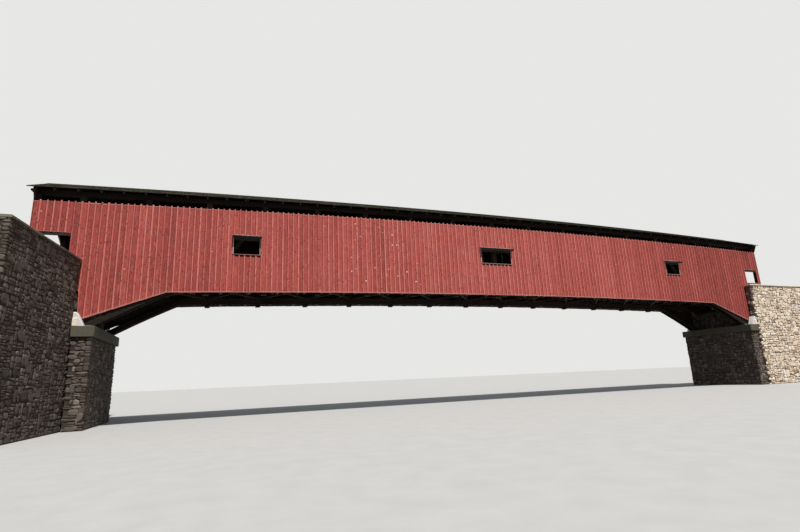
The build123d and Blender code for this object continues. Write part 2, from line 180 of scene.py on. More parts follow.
def linked(name: str, data: bpy.types.ID) -> bpy.types.Object:
    """Put a new object into the scene's own collection.

    Args:
        name: its name.
        data: its mesh, lens or light.

    Returns:
        The object.
    """
    made = bpy.data.objects.new(name, data)
    bpy.context.scene.collection.objects.link(made)
    return made


def grain_of(points: Array) -> Array:
    """Coordinates along, across and into each item.

    Args:
        points: (items, points, 3).

    Returns:
        The points less their middle, turned onto the item's longest, middle and shortest
        directions (the eigenvectors of its spread). The first and last also get an offset that
        differs from item to item, so that no two neighbours share a pattern.
    """
    spread = points - points.mean(axis=1, keepdims=True)
    _, axes = np.linalg.eigh(np.einsum("inj,ink->ijk", spread, spread))
    turned = np.einsum("inj,ijk->ink", spread, axes[:, :, ::-1])
    jump = np.arange(len(points)) * GOLDEN % 1.0
    turned[:, :, 0] += jump[:, None] * 41.0
    turned[:, :, 2] += (jump * 7.0 % 1.0)[:, None] * 23.0
    return turned


@dataclass
class Rings:
    """Closed rings of points carried from station to station, for many like items at once.

    Attributes:
        points: (items, stations, ring, 3) in row coordinates.
        tone: one number from 0 to 1 for each item, read by the finishes.
        wear_and_highlight: a number from 0 to 1 for each station: worn paint with a painted
            highlight at the ends.
        bare: the sides of the ring that take the piece's second finish.
        grain: grain coordinates, where they aren't left to grain_of.
        second: which whole items take the second finish.
    """

    points: Array
    tone: Array
    wear_and_highlight: Optional[Sequence[float]] = None
    bare: tuple[int, ...] = ()
    grain: Optional[Array] = None
    second: Optional[Array] = None

    def faces(self) -> list[tuple[Array, Array]]:
        """Faces that look outwards, with their finish numbers: the side quads, then the caps."""
        items, stations, ring, _ = self.points.shape
        index = np.arange(items * stations * ring).reshape(items, stations, ring)
        near, far = index[:, :-1], index[:, 1:]
        quads = np.stack([near, np.roll(near, -1, 2), np.roll(far, -1, 2), far], axis=-1)
        caps = np.stack([index[:, 0, ::-1], index[:, -1]], axis=1)
        flip = self.volumes() < 0
        quads[flip] = quads[flip][..., ::-1]
        caps[flip] = caps[flip][..., ::-1]
        whole = np.zeros(items, bool) if self.second is None else self.second
        bare = np.isin(np.arange(ring), self.bare) | whole[:, None, None]
        bare = np.broadcast_to(bare, quads.shape[:3]).reshape(-1)
        return [(quads.reshape(-1, 4), bare), (caps.reshape(-1, ring), np.repeat(whole, 2))]

    def volumes(self) -> Array:
        """A signed size of each item: its largest ring's area against the way it is carried."""
        spread = self.points - self.points.mean(axis=2, keepdims=True)
        area = np.cross(spread, np.roll(spread, -1, axis=2)).sum(axis=2)
        largest = np.argmax((area**2).sum(-1), axis=1)
        run = self.points[:, -1].mean(axis=1) - self.points[:, 0].mean(axis=1)
        return (area[np.arange(len(area)), largest] * run).sum(-1)

    def fields(self) -> tuple[Array, Array, Array]:
        """The tone, the wear and the grain coordinates of every point."""
        items, stations, ring, _ = self.points.shape
        tone = np.repeat(self.tone, stations * ring)
        wear_and_highlight = np.zeros(stations) if self.wear_and_highlight is None else self.wear_and_highlight
        wear_and_highlight = np.tile(np.repeat(wear_and_highlight, ring), items)
        grain = grain_of(self.points.reshape(items, -1, 3)) if self.grain is None else self.grain
        return tone, wear_and_highlight, grain.reshape(-1, 3)


def fill_mesh(
    name: str, points: Array, groups: Sequence[tuple[Array, Array]], fields: Sequence[Array]
) -> bpy.types.Mesh:
    """A flat shaded mesh from whole arrays.

    Args:
        name: the mesh's name.
        points: (n, 3).
        groups: pairs of (faces of one size, finish numbers).
        fields: the tone (n), the wear (n) and the grain coordinates (n, 3).

    Returns:
        The mesh, with point attributes named tone, wear and grain.
    """
    sizes = np.concatenate([np.full(len(faces), faces.shape[1]) for faces, _ in groups])
    corners = np.concatenate([faces.reshape(-1) for faces, _ in groups])
    finish = np.concatenate([numbers for _, numbers in groups])
    mesh = bpy.data.meshes.new(name)
    mesh.vertices.add(len(points))
    mesh.loops.add(len(corners))
    mesh.polygons.add(len(sizes))
    mesh.vertices.foreach_set("co", points.astype(np.float32).ravel())
    for target, label, values in (
        (mesh.loops, "vertex_index", corners),
        (mesh.polygons, "loop_start", np.cumsum(sizes) - sizes),
        (mesh.polygons, "loop_total", sizes),
        (mesh.polygons, "material_index", finish),
    ):
        target.foreach_set(label, values.astype(np.int32))
    mesh.update(calc_edges=True)
    mesh.shade_flat()
    kinds = ("FLOAT", "value"), ("FLOAT", "value"), ("FLOAT_VECTOR", "vector")
    for label, (kind, key), values in zip(("tone", "wear_and_highlight", "grain"), kinds, fields):
        layer = mesh.attributes.new(label, kind, "POINT")
        layer.data.foreach_set(key, values.astype(np.float32).ravel())
    return mesh


def bars(sides: Array, axis: int, bevel: float = 0.0) -> Array:
    """Bevelled boxes.

    Args:
        sides: (items, 6), each box's x from and to, y from and to, z from and to.
        axis: the axis that each ring is carried along.
        bevel: how much each long edge is cut back.

    Returns:
        Ring points (items, 2, 8 or 4, 3): the other two axes' rectangle, carried along axis.
    """
    low, high = sides[:, 0::2], sides[:, 1::2]
    first, second = [a for a in range(3) if a != axis]
    a0, a1 = low[:, first, None], high[:, first, None]
    b0, b1 = low[:, second, None], high[:, second, None]
    if bevel:
        a = [a0 + bevel, a0, a0, a0 + bevel, a1 - bevel, a1, a1, a1 - bevel]
        b = [b0, b0 + bevel, b1 - bevel, b1, b1, b1 - bevel, b0 + bevel, b0]
    else:
        a, b = [a0, a0, a1, a1], [b0, b1, b1, b0]
    out = np.empty((len(low), 2, len(a), 3))
    out[..., first] = np.concatenate(a, 1)[:, None]
    out[..., second] = np.concatenate(b, 1)[:, None]
    out[..., axis] = np.stack([low[:, axis], high[:, axis]], 1)[..., None]
    return out


def rods(start: Array, end: Array, radius: float, sides: int = 8) -> Array:
    """Straight round bars.

    Args:
        start: (items, 3) middles of the first ends.
        end: (items, 3) middles of the other ends.
        radius: the bars' radius.
        sides: how many flats stand for the round.

    Returns:
        Ring points (items, 2, sides, 3): each end plus the radius times the cosine and the sine of
        the angle on two directions that are square to the bar.
    """
    run = (end - start) / np.linalg.norm(end - start, axis=1)[:, None]
    helper = np.where(np.abs(run[:, 2:]) > 0.9, [[1.0, 0.0, 0.0]], [[0.0, 0.0, 1.0]])
    first = np.cross(run, helper)
    first /= np.linalg.norm(first, axis=1)[:, None]
    second = np.cross(run, first)
    angle = ((np.arange(sides) + 0.5) / sides * 2 * np.pi)[:, None]
    rim = np.cos(angle) * first[:, None] + np.sin(angle) * second[:, None]
    return np.stack([start, end], 1)[:, :, None] + radius * rim[:, None]


class Nodes:
    """A short way to write a material's node tree."""

    def __init__(self, name: str) -> None:
        """Start a material with a principled shader.

        Args:
            name: the material's name.
        """
        self.material = bpy.data.materials.new(name)
        self.material.use_nodes = True
        self.tree = self.material.node_tree
        self.place = self.node("TexCoord", {})["Object"]

    def link(self, source: object, socket: Socket) -> None:
        """Link an output, or write a plain value, into a socket."""
        if isinstance(source, Socket):
            self.tree.links.new(source, socket)
        elif isinstance(source, tuple) and len(source) == 3 and socket.type == "RGBA":
            socket.default_value = (*source, 1.0)
        else:
            socket.default_value = source

    def node(
        self, kind: str, inputs: Mapping[Union[int, str], object], **settings: str
    ) -> Sequence[Socket]:
        """Add a node.

        Args:
            kind: its type, less the start that all types share.
            inputs: what each of its inputs is linked or set to.
            settings: its properties.

        Returns:
            Its outputs.
        """
        made = self.tree.nodes.new(f"ShaderNode{kind}")
        for name, value in settings.items():
            setattr(made, name, value)
        for key, source in inputs.items():
            self.link(source, made.inputs[key])
        return made.outputs

    def field(self, name: str, output: str = "Fac") -> Socket:
        """One of the mesh's own point attributes."""
        return self.node("Attribute", {}, attribute_name=name)[output]

    def parts(self, vector: Socket) -> tuple[Socket, ...]:
        """The three numbers of a vector."""
        return tuple(self.node("SeparateXYZ", {0: vector}))

    def joined(self, first: object, second: object) -> Socket:
        """A flat vector from two numbers."""
        return self.node("CombineXYZ", {0: first, 1: second})[0]

    def math(self, kind: str, first: object, second: object = 0.0, third: object = 0.0) -> Socket:
        """One sum of two or three values."""
        return self.node("Math", {0: first, 1: second, 2: third}, operation=kind)[0]

    def line(self, value: object, slope: object, base: object) -> Socket:
        """The value times a slope, plus a base."""
        return self.math("MULTIPLY_ADD", value, slope, base)

    def noise(
        self, vector: Socket, scale: float, detail: float = 4.0, rough: float = 0.55
    ) -> Socket:
        """Cloudy noise from 0 to 1, with so many blotches to a unit and so many octaves."""
        inputs = {"Vector": vector, "Scale": scale, "Detail": detail, "Roughness": rough}
        return self.node("TexNoise", inputs)["Fac"]

    def streaks(
        self, grain: Socket, along: float, across: float, detail: float, rough: float = 0.55
    ) -> Socket:
        """Noise with so many blotches to a unit along the grain and across it."""
        scaled = self.node("Mapping", {"Vector": grain, "Scale": (along, across, across)})[0]
        return self.noise(scaled, 1.0, detail, rough)

    def dots(
        self,
        vector: Socket,
        scale: float,
        least: float,
        most: float,
        rare: float,
        ragged: object = 0.5,
    ) -> Socket:
        """Round dots scattered on a plane.

        Args:
            vector: flat coordinates.
            scale: cells to a unit, with one dot at most in each.
            least: the smallest dot's radius, in cells.
            most: the largest dot's radius, in cells.
            rare: the share of cells that have no dot.
            ragged: noise that eats into the dots' rims, or 0.5 for round dots.

        Returns:
            1 inside a dot and 0 outside, from the distance to the nearest of the scattered points.
        """
        inputs = {"Vector": vector, "Scale": scale}
        cell = self.node("TexVoronoi", inputs, voronoi_dimensions="2D")
        chance = self.parts(cell["Color"])[0]
        size = self.math("MULTIPLY", self.math("SUBTRACT", chance, rare), 1.0 / (1.0 - rare))
        reach = self.line(size, most - least, least)
        reach = self.math("MULTIPLY", reach, self.line(ragged, 3.0, -0.5))
        gap = self.math("SUBTRACT", reach, cell["Distance"])
        inside = self.window(gap, 0.0, 0.35 * least + 0.01)
        return self.math("MULTIPLY", inside, self.math("GREATER_THAN", chance, rare))

    def ramp(
        self, factor: object, colours: Sequence[Colour], low: float = 0.0, high: float = 1.0
    ) -> Socket:
        """Evenly spaced colours between two values of a factor.

        Args:
            factor: what picks the colour.
            colours: the colours, from first to last.
            low: the factor's value at the first.
            high: its value at the last.

        Returns:
            The colour.
        """
        node = self.tree.nodes.new("ShaderNodeValToRGB")
        self.link(factor, node.inputs["Fac"])
        elements = node.color_ramp.elements
        while len(elements) < len(colours):
            elements.new(0.5)
        for number, colour in enumerate(colours):
            elements[number].position = low + (high - low) * number / (len(colours) - 1)
            elements[number].color = (*colour, 1.0)
        return node.outputs["Color"]

    def window(self, factor: object, low: float, high: float) -> Socket:
        """A smooth step from 0 to 1.

        Args:
            factor: what is looked at.
            low: its value where the step is 0.
            high: its value where the step is 1, which may be the lesser of the two.

        Returns:
            The step.
        """
        flip = high < low
        inputs = {
            "Value": factor,
            "From Min": min(low, high),
            "From Max": max(low, high),
            "To Min": 1.0 if flip else 0.0,
            "To Max": 0.0 if flip else 1.0,
        }
        return self.node("MapRange", inputs, interpolation_type="SMOOTHSTEP")["Result"]

    def mix(self, factor: object, share: float, first: object, second: object) -> Socket:
        """The second colour over the first, by a factor times a share."""
        inputs = {0: self.math("MULTIPLY", factor, share), 6: first, 7: second}
        return self.node("Mix", inputs, data_type="RGBA")[2]

    def over(
        self, first: object, second: object, share: float, factor: object, low: float, high: float
    ) -> Socket:
        """The second colour over the first, by a share of a window of a factor."""
        return self.mix(self.window(factor, low, high), share, first, second)

    def finish(
        self, colour: object, rough: object, height: object, strength: float, depth: float
    ) -> Material:
        """Wire the shader up.

        Args:
            colour: base colour.
            rough: roughness.
            height: the bump's height field.
            strength: how strong the bump is.
            depth: the bump's depth.

        Returns:
            The material.
        """
        bump = {"Strength": strength, "Distance": depth, "Height": height}
        shader = self.tree.nodes["Principled BSDF"].inputs
        for key, source in {
            "Base Color": colour,
            "Roughness": rough,
            "Specular IOR Level": 0.12,
            "Normal": self.node("Bump", bump)["Normal"],
        }.items():
            self.link(source, shader[key])
        return self.material


@dataclass(frozen=True)
class Coat:
    """What every finish has.

    Attributes:
        name: the material's name.
        slot: the record's material slot of what it covers; not used.
    """

    name: str
    slot: str


@dataclass(frozen=True)
class PaintedWood(Coat):
    """Weathered paint on boards.

    Attributes:
        tones: colours from the darkest board to the palest.
        stain: the dirt in knots and cracks, and the painted shade along the battens.
        worn: the colour where weather has thinned the paint, also of the pale board ends with their
            painted highlight.
        chip: the pale flecks.
        edge: how far from its middle a board's painted shade along the battens starts.
    """

    tones: tuple[Colour, ...]
    stain: Colour = (0.085, 0.022, 0.020)
    worn: Colour = (0.68, 0.34, 0.29)
    chip: Colour = (1.0, 0.90, 0.84)
    edge: float = 0.050

    def build(self) -> Material:
        """Board tone, streaks down the grain, blotches, painted shade along the battens, knots,
        pale ends (worn paint with a painted highlight), flecks.
        """
        n = Nodes(self.name)
        grain = n.field("grain", "Vector")
        along, across, _ = n.parts(grain)
        streak = n.streaks(grain, 1.3, 55.0, 5.0, 0.7)
        blotch = n.streaks(grain, 3.0, 12.0, 5.0, 0.65)
        tone = n.field("tone")
        for source, share in ((streak, 0.40), (blotch, 0.70), (n.noise(n.place, 0.45, 3.0), 0.40)):
            tone = n.line(source, share, tone)
        colour = n.ramp(n.math("SUBTRACT", tone, 0.75), self.tones)
        colour = n.over(colour, self.stain, 0.55, streak, 0.40, 0.30)
        # A dark line along each board's edges where it meets the battens, wider on one side: partly
        # dirt, partly painted shade in the joints.
        ragged = n.line(blotch, -0.030, self.edge + 0.013)
        for side, width in ((-1.0, 0.0), (1.0, 0.010)):
            gap = n.math("SUBTRACT", n.math("MULTIPLY", across, side), ragged)
            colour = n.over(colour, self.stain, 0.62, gap, -width - 0.003, 0.004 - width)
        dash = n.streaks(grain, 9.0, 60.0, 3.0, 0.6)
        colour = n.over(colour, self.stain, 0.55, dash, 0.42, 0.33)
        colour = n.over(colour, self.worn, 0.35, dash, 0.58, 0.68)
        ragged = n.streaks(grain, 26.0, 40.0, 3.0)
        flat = n.joined(across, n.math("MULTIPLY", along, 0.7))
        for scale, least, most, rare in ((14.0, 0.04, 0.17, 0.30), (6.0, 0.03, 0.12, 0.45)):
            for size, share in ((1.0, 0.45), (0.55, 0.55)):
                knots = n.dots(flat, scale, least * size, most * size, rare, ragged)
                colour = n.mix(knots, share, colour, self.stain)
        colour = n.over(colour, self.worn, 0.22, blotch, 0.60, 0.72)
        # Pale ends of the boards: worn paint with a painted highlight where the ends catch the
        # light.
        colour = n.mix(n.field("wear_and_highlight"), 0.85, colour, self.worn)
        flecks = n.dots(n.joined(n.math("ADD", across, 0.37), along), 6.0, 0.04, 0.09, 0.990)
        colour = n.mix(flecks, 0.9, colour, self.chip)
        x = n.parts(n.place)[0]
        spattered = n.math("MULTIPLY", n.window(x, -6.14, -5.74), n.window(x, -3.45, -3.95))
        flecks = n.dots(n.joined(n.math("ADD", across, 0.11), along), 7.0, 0.09, 0.16, 0.935)
        colour = n.mix(n.math("MULTIPLY", flecks, spattered), 0.9, colour, self.chip)
        fine = n.streaks(grain, 6.0, 160.0, 3.0)
        height = n.line(knots, -0.5, n.math("ADD", fine, streak))
        return n.finish(colour, n.line(fine, 0.25, 0.6), height, 0.45, 0.003)


@dataclass(frozen=True)
class Timber(Coat):
    """Rough sawn timber that has aged in the dry or in the rain.

    Attributes:
        tones: the colour of its cracks, its plain colour and its dry faces.
        stain: the colour of soot, damp or moss.
        stained: how much of the surface the stain takes, from 0 to 1.
    """

    tones: tuple[Colour, Colour, Colour]
    stain: Colour
    stained: float

    def build(self) -> Material:
        """Streaks along the grain over wide stains, with open checks and a few knots."""
        n = Nodes(self.name)
        grain = n.field("grain", "Vector")
        along, across, _ = n.parts(grain)
        lines = n.streaks(grain, 1.1, 38.0, 6.0, 0.65)
        tone = n.line(n.field("tone"), 0.30, n.math("SUBTRACT", lines, 0.15))
        colour = n.ramp(tone, self.tones, 0.28, 0.76)
        wide = n.noise(n.place, 1.4, 4.0, 0.6)
        edge = 0.72 - 0.35 * self.stained
        colour = n.over(colour, self.stain, 0.7, wide, edge - 0.1, edge + 0.1)
        crack = n.window(n.streaks(grain, 0.7, 26.0, 2.0), 0.37, 0.31)
        colour = n.mix(crack, 0.8, colour, self.tones[0])
        knots = n.dots(n.joined(across, n.math("MULTIPLY", along, 0.4)), 4.0, 0.04, 0.10, 0.6)
        colour = n.mix(knots, 0.7, colour, self.tones[0])
        height = n.line(crack, -0.8, lines)
        return n.finish(colour, n.line(lines, 0.3, 0.6), height, 0.55, 0.004)


@dataclass(frozen=True)
class Stone(Coat):
    """Field stone, concrete or mortar.

    Attributes:
        tones: colours from the darkest stone to the palest.
        stain: the colour of lichen, soot and damp.
        stained: how much of the surface the stain takes, from 0 to 1.
    """

    tones: tuple[Colour, ...]
    stain: Colour
    stained: float

    def build(self) -> Material:
        """Stone tone, mottling, stains and a pitted grain."""
        n = Nodes(self.name)
        mottle = n.noise(n.place, 9.0, 6.0, 0.65)
        tone = n.line(mottle, 0.6, n.math("SUBTRACT", n.field("tone"), 0.3))
        colour = n.ramp(tone, self.tones)
        damp = n.noise(n.place, 1.1, 5.0, 0.6)
        edge = 0.74 - 0.34 * self.stained
        colour = n.over(colour, self.stain, 0.75, damp, edge - 0.1, edge + 0.1)
        pits = n.noise(n.place, 60.0, 5.0, 0.7)
        colour = n.over(colour, self.stain, 0.5, pits, 0.42, 0.3)
        height = n.math("ADD", pits, n.math("MULTIPLY", mottle, 1.5))
        return n.finish(colour, n.line(pits, 0.2, 0.72), height, 0.6, 0.006)


@dataclass(frozen=True)
class Iron(Coat):
    """Old galvanised iron with rust coming through.

    Attributes:
        clean: the metal's own colour.
        rust: the colour of the rust.
        rusty: how much of it is rust, from 0 to 1.
    """

    clean: Colour
    rust: Colour
    rusty: float

    def build(self) -> Material:
        """Rust in patches over dull metal, rougher and less metallic where it is thick."""
        n = Nodes(self.name)
        patch = n.noise(n.place, 16.0, 5.0, 0.6)
        edge = 0.68 - 0.36 * self.rusty
        rust = n.window(patch, edge - 0.05, edge + 0.08)
        colour = n.mix(rust, 1.0, self.clean, self.rust)
        metal = n.tree.nodes["Principled BSDF"].inputs["Metallic"]
        n.link(n.line(rust, -0.5, 0.5), metal)
        return n.finish(colour, n.line(rust, 0.35, 0.5), n.noise(n.place, 140.0, 3.0), 0.3, 0.001)


SOOT, MOSS, DAMP = (0.012, 0.009, 0.007), (0.060, 0.068, 0.030), (0.07, 0.06, 0.05)
REDS = (
    (0.150, 0.038, 0.034),
    (0.255, 0.053, 0.047),
    (0.355, 0.067, 0.057),
    (0.450, 0.092, 0.077),
    (0.540, 0.142, 0.118),
)
BRIGHT_REDS = (
    (0.36, 0.072, 0.060),
    (0.52, 0.112, 0.092),
    (0.62, 0.162, 0.136),
    (0.70, 0.24, 0.205),
)
# The frame timber's tones are darker than aged wood would be: painted shade for the underside, the
# eaves and the inside.
OLD_SHADED = ((0.010, 0.007, 0.005), (0.034, 0.023, 0.017), (0.075, 0.052, 0.039))
# The arches' tones are darker still: painted shade below the walls' lower edge.
ARCH_SHADE_TONES = ((0.006, 0.004, 0.003), (0.019, 0.013, 0.010), (0.042, 0.030, 0.023))
BACKS = ((0.016, 0.012, 0.009), (0.060, 0.044, 0.034), (0.125, 0.094, 0.074))
GREY = ((0.030, 0.027, 0.023), (0.085, 0.080, 0.071), (0.160, 0.152, 0.140))
BLACK = ((0.002, 0.002, 0.002), (0.004, 0.004, 0.004), (0.008, 0.007, 0.007))
PALE = ((0.42, 0.28, 0.26), (0.60, 0.42, 0.39), (0.70, 0.54, 0.51))
PINKISH = ((0.22, 0.12, 0.11), (0.40, 0.25, 0.23), (0.52, 0.38, 0.35))
PLANK = ((0.05, 0.04, 0.03), (0.15, 0.12, 0.09), (0.25, 0.21, 0.165))
SHAKE = ((0.040, 0.036, 0.027), (0.115, 0.108, 0.082), (0.215, 0.205, 0.165))
CREAMS = (
    (0.34, 0.24, 0.17),
    (0.64, 0.50, 0.37),
    (0.80, 0.66, 0.51),
    (0.86, 0.75, 0.61),
    (0.87, 0.81, 0.72),
)
BROWNS = ((0.060, 0.045, 0.036), (0.105, 0.082, 0.068), (0.150, 0.122, 0.104), (0.23, 0.20, 0.175))
LIME = ((0.09, 0.068, 0.052), (0.20, 0.16, 0.13))
SHADED_LIME = ((0.030, 0.024, 0.019), (0.06, 0.05, 0.04))
SLAB = ((0.55, 0.49, 0.39), (0.74, 0.67, 0.55))
OLD_SLAB = ((0.13, 0.12, 0.085), (0.25, 0.23, 0.18))
LEDGE = ((0.075, 0.070, 0.052), (0.175, 0.165, 0.125))
WHITISH = ((0.60, 0.59, 0.57), (0.74, 0.73, 0.71))


class Finish(Enum):
    """Every finish of the bridge."""

    BOARDS = PaintedWood("painted_boards", "painted_boards", REDS)
    BATTENS = PaintedWood("painted_battens", "painted_boards", BRIGHT_REDS, edge=0.2)
    TIMBER = Timber("old_timber_painted_shade", FRAME, OLD_SHADED, SOOT, 0.35)
    ARCHES = Timber("arches_painted_shade", FRAME, ARCH_SHADE_TONES, SOOT, 0.5)
    BOARD_BACKS = Timber("board_backs", TRIM, BACKS, SOOT, 0.4)
    HOOD = Timber("hood_boards", TRIM, GREY, SOOT, 0.2)
    # Near black: tar on the hood drips, and painted shade on the rafters' tails and under the
    # sills.
    TAR_AND_SHADE = Timber("tar_and_painted_shade", TRIM, BLACK, (0.003, 0.003, 0.003), 0.3)
    BLEACHED = Timber("bleached_wood", TRIM, PALE, (0.30, 0.22, 0.20), 0.1)
    FADED = Timber("faded_sill", TRIM, PINKISH, SOOT, 0.2)
    PLANKS = Timber("floor_boards", "floor_planks", PLANK, DAMP, 0.3)
    SHINGLES = Timber("roof_shingles", "roof_shingles", SHAKE, MOSS, 0.6)
    STONE = Stone("cream_rubble", RUBBLE, CREAMS, (0.16, 0.125, 0.095), 0.12)
    # The shaded rubble and its mortar are darker copies of the stone and mortar, for masses in
    # shade: painted shade.
    DARK_STONE = Stone("shaded_rubble", RUBBLE, BROWNS, (0.060, 0.058, 0.040), 0.35)
    MORTAR = Stone("lime_mortar", RUBBLE, LIME, DAMP, 0.3)
    DARK_MORTAR = Stone("shaded_mortar", RUBBLE, SHADED_LIME, DAMP, 0.4)
    COPING = Stone("coping_stone", RUBBLE, SLAB, DAMP, 0.15)
    OLD_COPING = Stone("mossy_coping", RUBBLE, OLD_SLAB, MOSS, 0.6)
    CONCRETE = Stone("ledge_concrete", "concrete", LEDGE, MOSS, 0.45)
    BLOCK = Stone("pale_blocks", "concrete", WHITISH, DAMP, 0.12)
    IRON = Iron("galvanised_iron", TRIM, (0.26, 0.25, 0.235), (0.15, 0.065, 0.035), 0.5)
    NAILS = Iron("rusty_nails", TRIM, (0.10, 0.05, 0.04), (0.06, 0.025, 0.018), 0.8)


@cache
def material(finish: Finish) -> Material:
    """The material of a finish, built when it is first asked for."""
    return finish.value.build()


def add_object(
    name: str, mesh: bpy.types.Mesh, finishes: Sequence[Finish], node: str = ""
) -> bpy.types.Object:
    """Link a mesh as a piece that rides on the bridge's one body.

    Args:
        name: the piece's name.
        mesh: its mesh.
        finishes: its finish, and a second one for its bare sides.
        node: the CAD node that it takes the place of, if any.

    Returns:
        The object.
    """
    for finish in finishes:
        mesh.materials.append(material(finish))
    piece = linked(name, mesh)
    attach(piece, BODY)
    if node:
        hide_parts(node)
    log.info("%s: %d faces", name, len(mesh.polygons))
    return piece


def add_piece(
    name: str, parts: Sequence[Rings], finishes: Sequence[Finish], node: str = ""
) -> None:
    """Join any number of ring sets as one piece.

    Args:
        name: the piece's name.
        parts: its ring sets.
        finishes: its finish, and a second one for its bare sides.
        node: the CAD node that it takes the place of, if any.
    """
    groups, offset = [], 0
    for part in parts:
        groups += [(faces + offset, numbers) for faces, numbers in part.faces()]
        offset += part.points.size // 3
    fields = [np.concatenate(each) for each in zip(*(part.fields() for part in parts))]
    points = np.concatenate([part.points.reshape(-1, 3) for part in parts])
    add_object(name, fill_mesh(name, points, groups, fields), finishes, node)


@dataclass
class TimberFrame:
    """The pieces that keep their CAD form, with worn edges and a tone and grain for each timber.

    Attributes:
        each_side: nodes that each long side has.
        shared: nodes that both sides share.
        outside: distance across beyond which a face takes the second finish.
        edge: how far a timber's edges are worn back.
        sharp: edges sharper than this many degrees are worn.
    """

    each_side: tuple[str, ...] = ("lower_chord", "upper_chord", "nailers", "posts", "braces")
    shared: tuple[str, ...] = (
        "floor_beams",
        "tie_beams",
        "bed_timbers",
        "knee_braces",
        "portal_posts",
        "lower_bracing",
        "upper_bracing",
    )
    outside: float = 1.26
    edge: float = 0.004
    sharp: float = 40.0

    def merged(self, node: str) -> tuple[Array, Array]:
        """Read a CAD node's mesh.

        Args:
            node: the CAD node's name.

        Returns:
            Its points, with doubles merged, and its triangles.
        """
        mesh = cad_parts[node].data
        flat = np.empty(len(mesh.vertices) * 3, np.float32)
        mesh.vertices.foreach_get("co", flat)
        corners = np.empty(len(mesh.loops), np.int32)
        mesh.loops.foreach_get("vertex_index", corners)
        rounded = np.round(flat.reshape(-1, 3).astype(float), 5)
        points, index = np.unique(rounded, axis=0, return_inverse=True)
        triangles = index.reshape(-1)[corners].reshape(-1, 3)
        return points, triangles[(triangles != np.roll(triangles, 1, 1)).all(axis=1)]

    def timber_numbers(self, count: int, triangles: Array) -> Array:
        """Which separate timber each point belongs to: the least point number it can reach."""
        label = np.arange(count)
        while True:
            least = label[triangles].min(axis=1)
            fresh = label.copy()
            np.minimum.at(fresh, triangles.ravel(), np.repeat(least, 3))
            fresh = fresh[fresh]
            if (fresh == label).all():
                return np.unique(label, return_inverse=True)[1]
            label = fresh

    def dress(self, node: str, *finishes: Finish, edge: float = 0.0) -> None:
        """Put a copy of a CAD node in its place.

        Args:
            node: the CAD node's name.
            finishes: its finish, and a second one for the faces that lie outside the walls.
            edge: how far its edges are worn back, or 0 for the usual.
        """
        points, triangles = self.merged(node)
        timber = self.timber_numbers(len(points), triangles)
        grain = np.zeros_like(points)
        for number in range(timber.max() + 1):
            chosen = timber == number
            grain[chosen] = grain_of(points[None, chosen])[0] + [number * 3.7, 0.0, number * 1.9]
        tone = np.random.default_rng(len(points)).random(timber.max() + 1)[timber]
        outside = (np.abs(points[:, 1]) > self.outside)[triangles].all(axis=1)
        groups = [(triangles, outside & (len(finishes) > 1))]
        mesh = fill_mesh(node, points, groups, (tone, 0 * tone, grain))
        piece = add_object(f"{node}_dressed", mesh, finishes, node)
        worn = piece.modifiers.new("worn_edges", "BEVEL")
        worn.width = edge or self.edge
        worn.limit_method = "ANGLE"
        worn.angle_limit = math.radians(self.sharp)
        worn.segments = 1

    def build(self) -> None:
        """Dress every timber, the ledges and the blocks on them."""
        for side in Side:
            for node in self.each_side:
                self.dress(f"{side.label}_{node}", Finish.TIMBER)
        for node in self.shared:
            self.dress(node, Finish.TIMBER)
        # The rafters' faces outside the walls, their tails under the eaves, take the near-black
        # finish: painted shade.
        self.dress("rafters", Finish.TIMBER, Finish.TAR_AND_SHADE)
        for side in Side:
            for node in ("inner_arch", "outer_arch"):
                self.dress(f"{side.label}_{node}", Finish.ARCHES)
        for bank in Bank:
            self.dress(f"{bank.label}_ledge_cap", Finish.CONCRETE, edge=0.012)
        self.dress("thrust_blocks", Finish.CONCRETE, Finish.STONE, edge=0.008)


@dataclass(frozen=True)
class Opening:
    """One opening through a board wall, level at its sill and its head.

    Attributes:
        middle: distance of its middle from midspan.
        width: its width.
        sill: height of its bottom, at its middle.
        head: height of its top, at its middle.
        hooded: whether it has a hood and a sill board.
    """

    middle: float
    width: float
    sill: float
    head: float
    hooded: bool

    def reach(self, past: float = 0.0) -> Pair:
        """Distances from midspan of its sides, each moved out by so much."""
        return self.middle - self.width / 2 - past, self.middle + self.width / 2 + past

    def level(self, height: float) -> float:
        """Row Z of a height at its middle."""
        return float(CAMBER.z(self.middle, height))


OPENINGS = (
    Opening(-12.25, 0.70, 0.95, 1.50, False),
    Opening(-7.835, 0.68, 1.04, 1.55, True),
    Opening(0.0, 1.13, 1.04, 1.55, True),
    Opening(7.835, 0.68, 1.04, 1.55, True),
    Opening(12.25, 0.70, 0.95, 1.50, False),
)


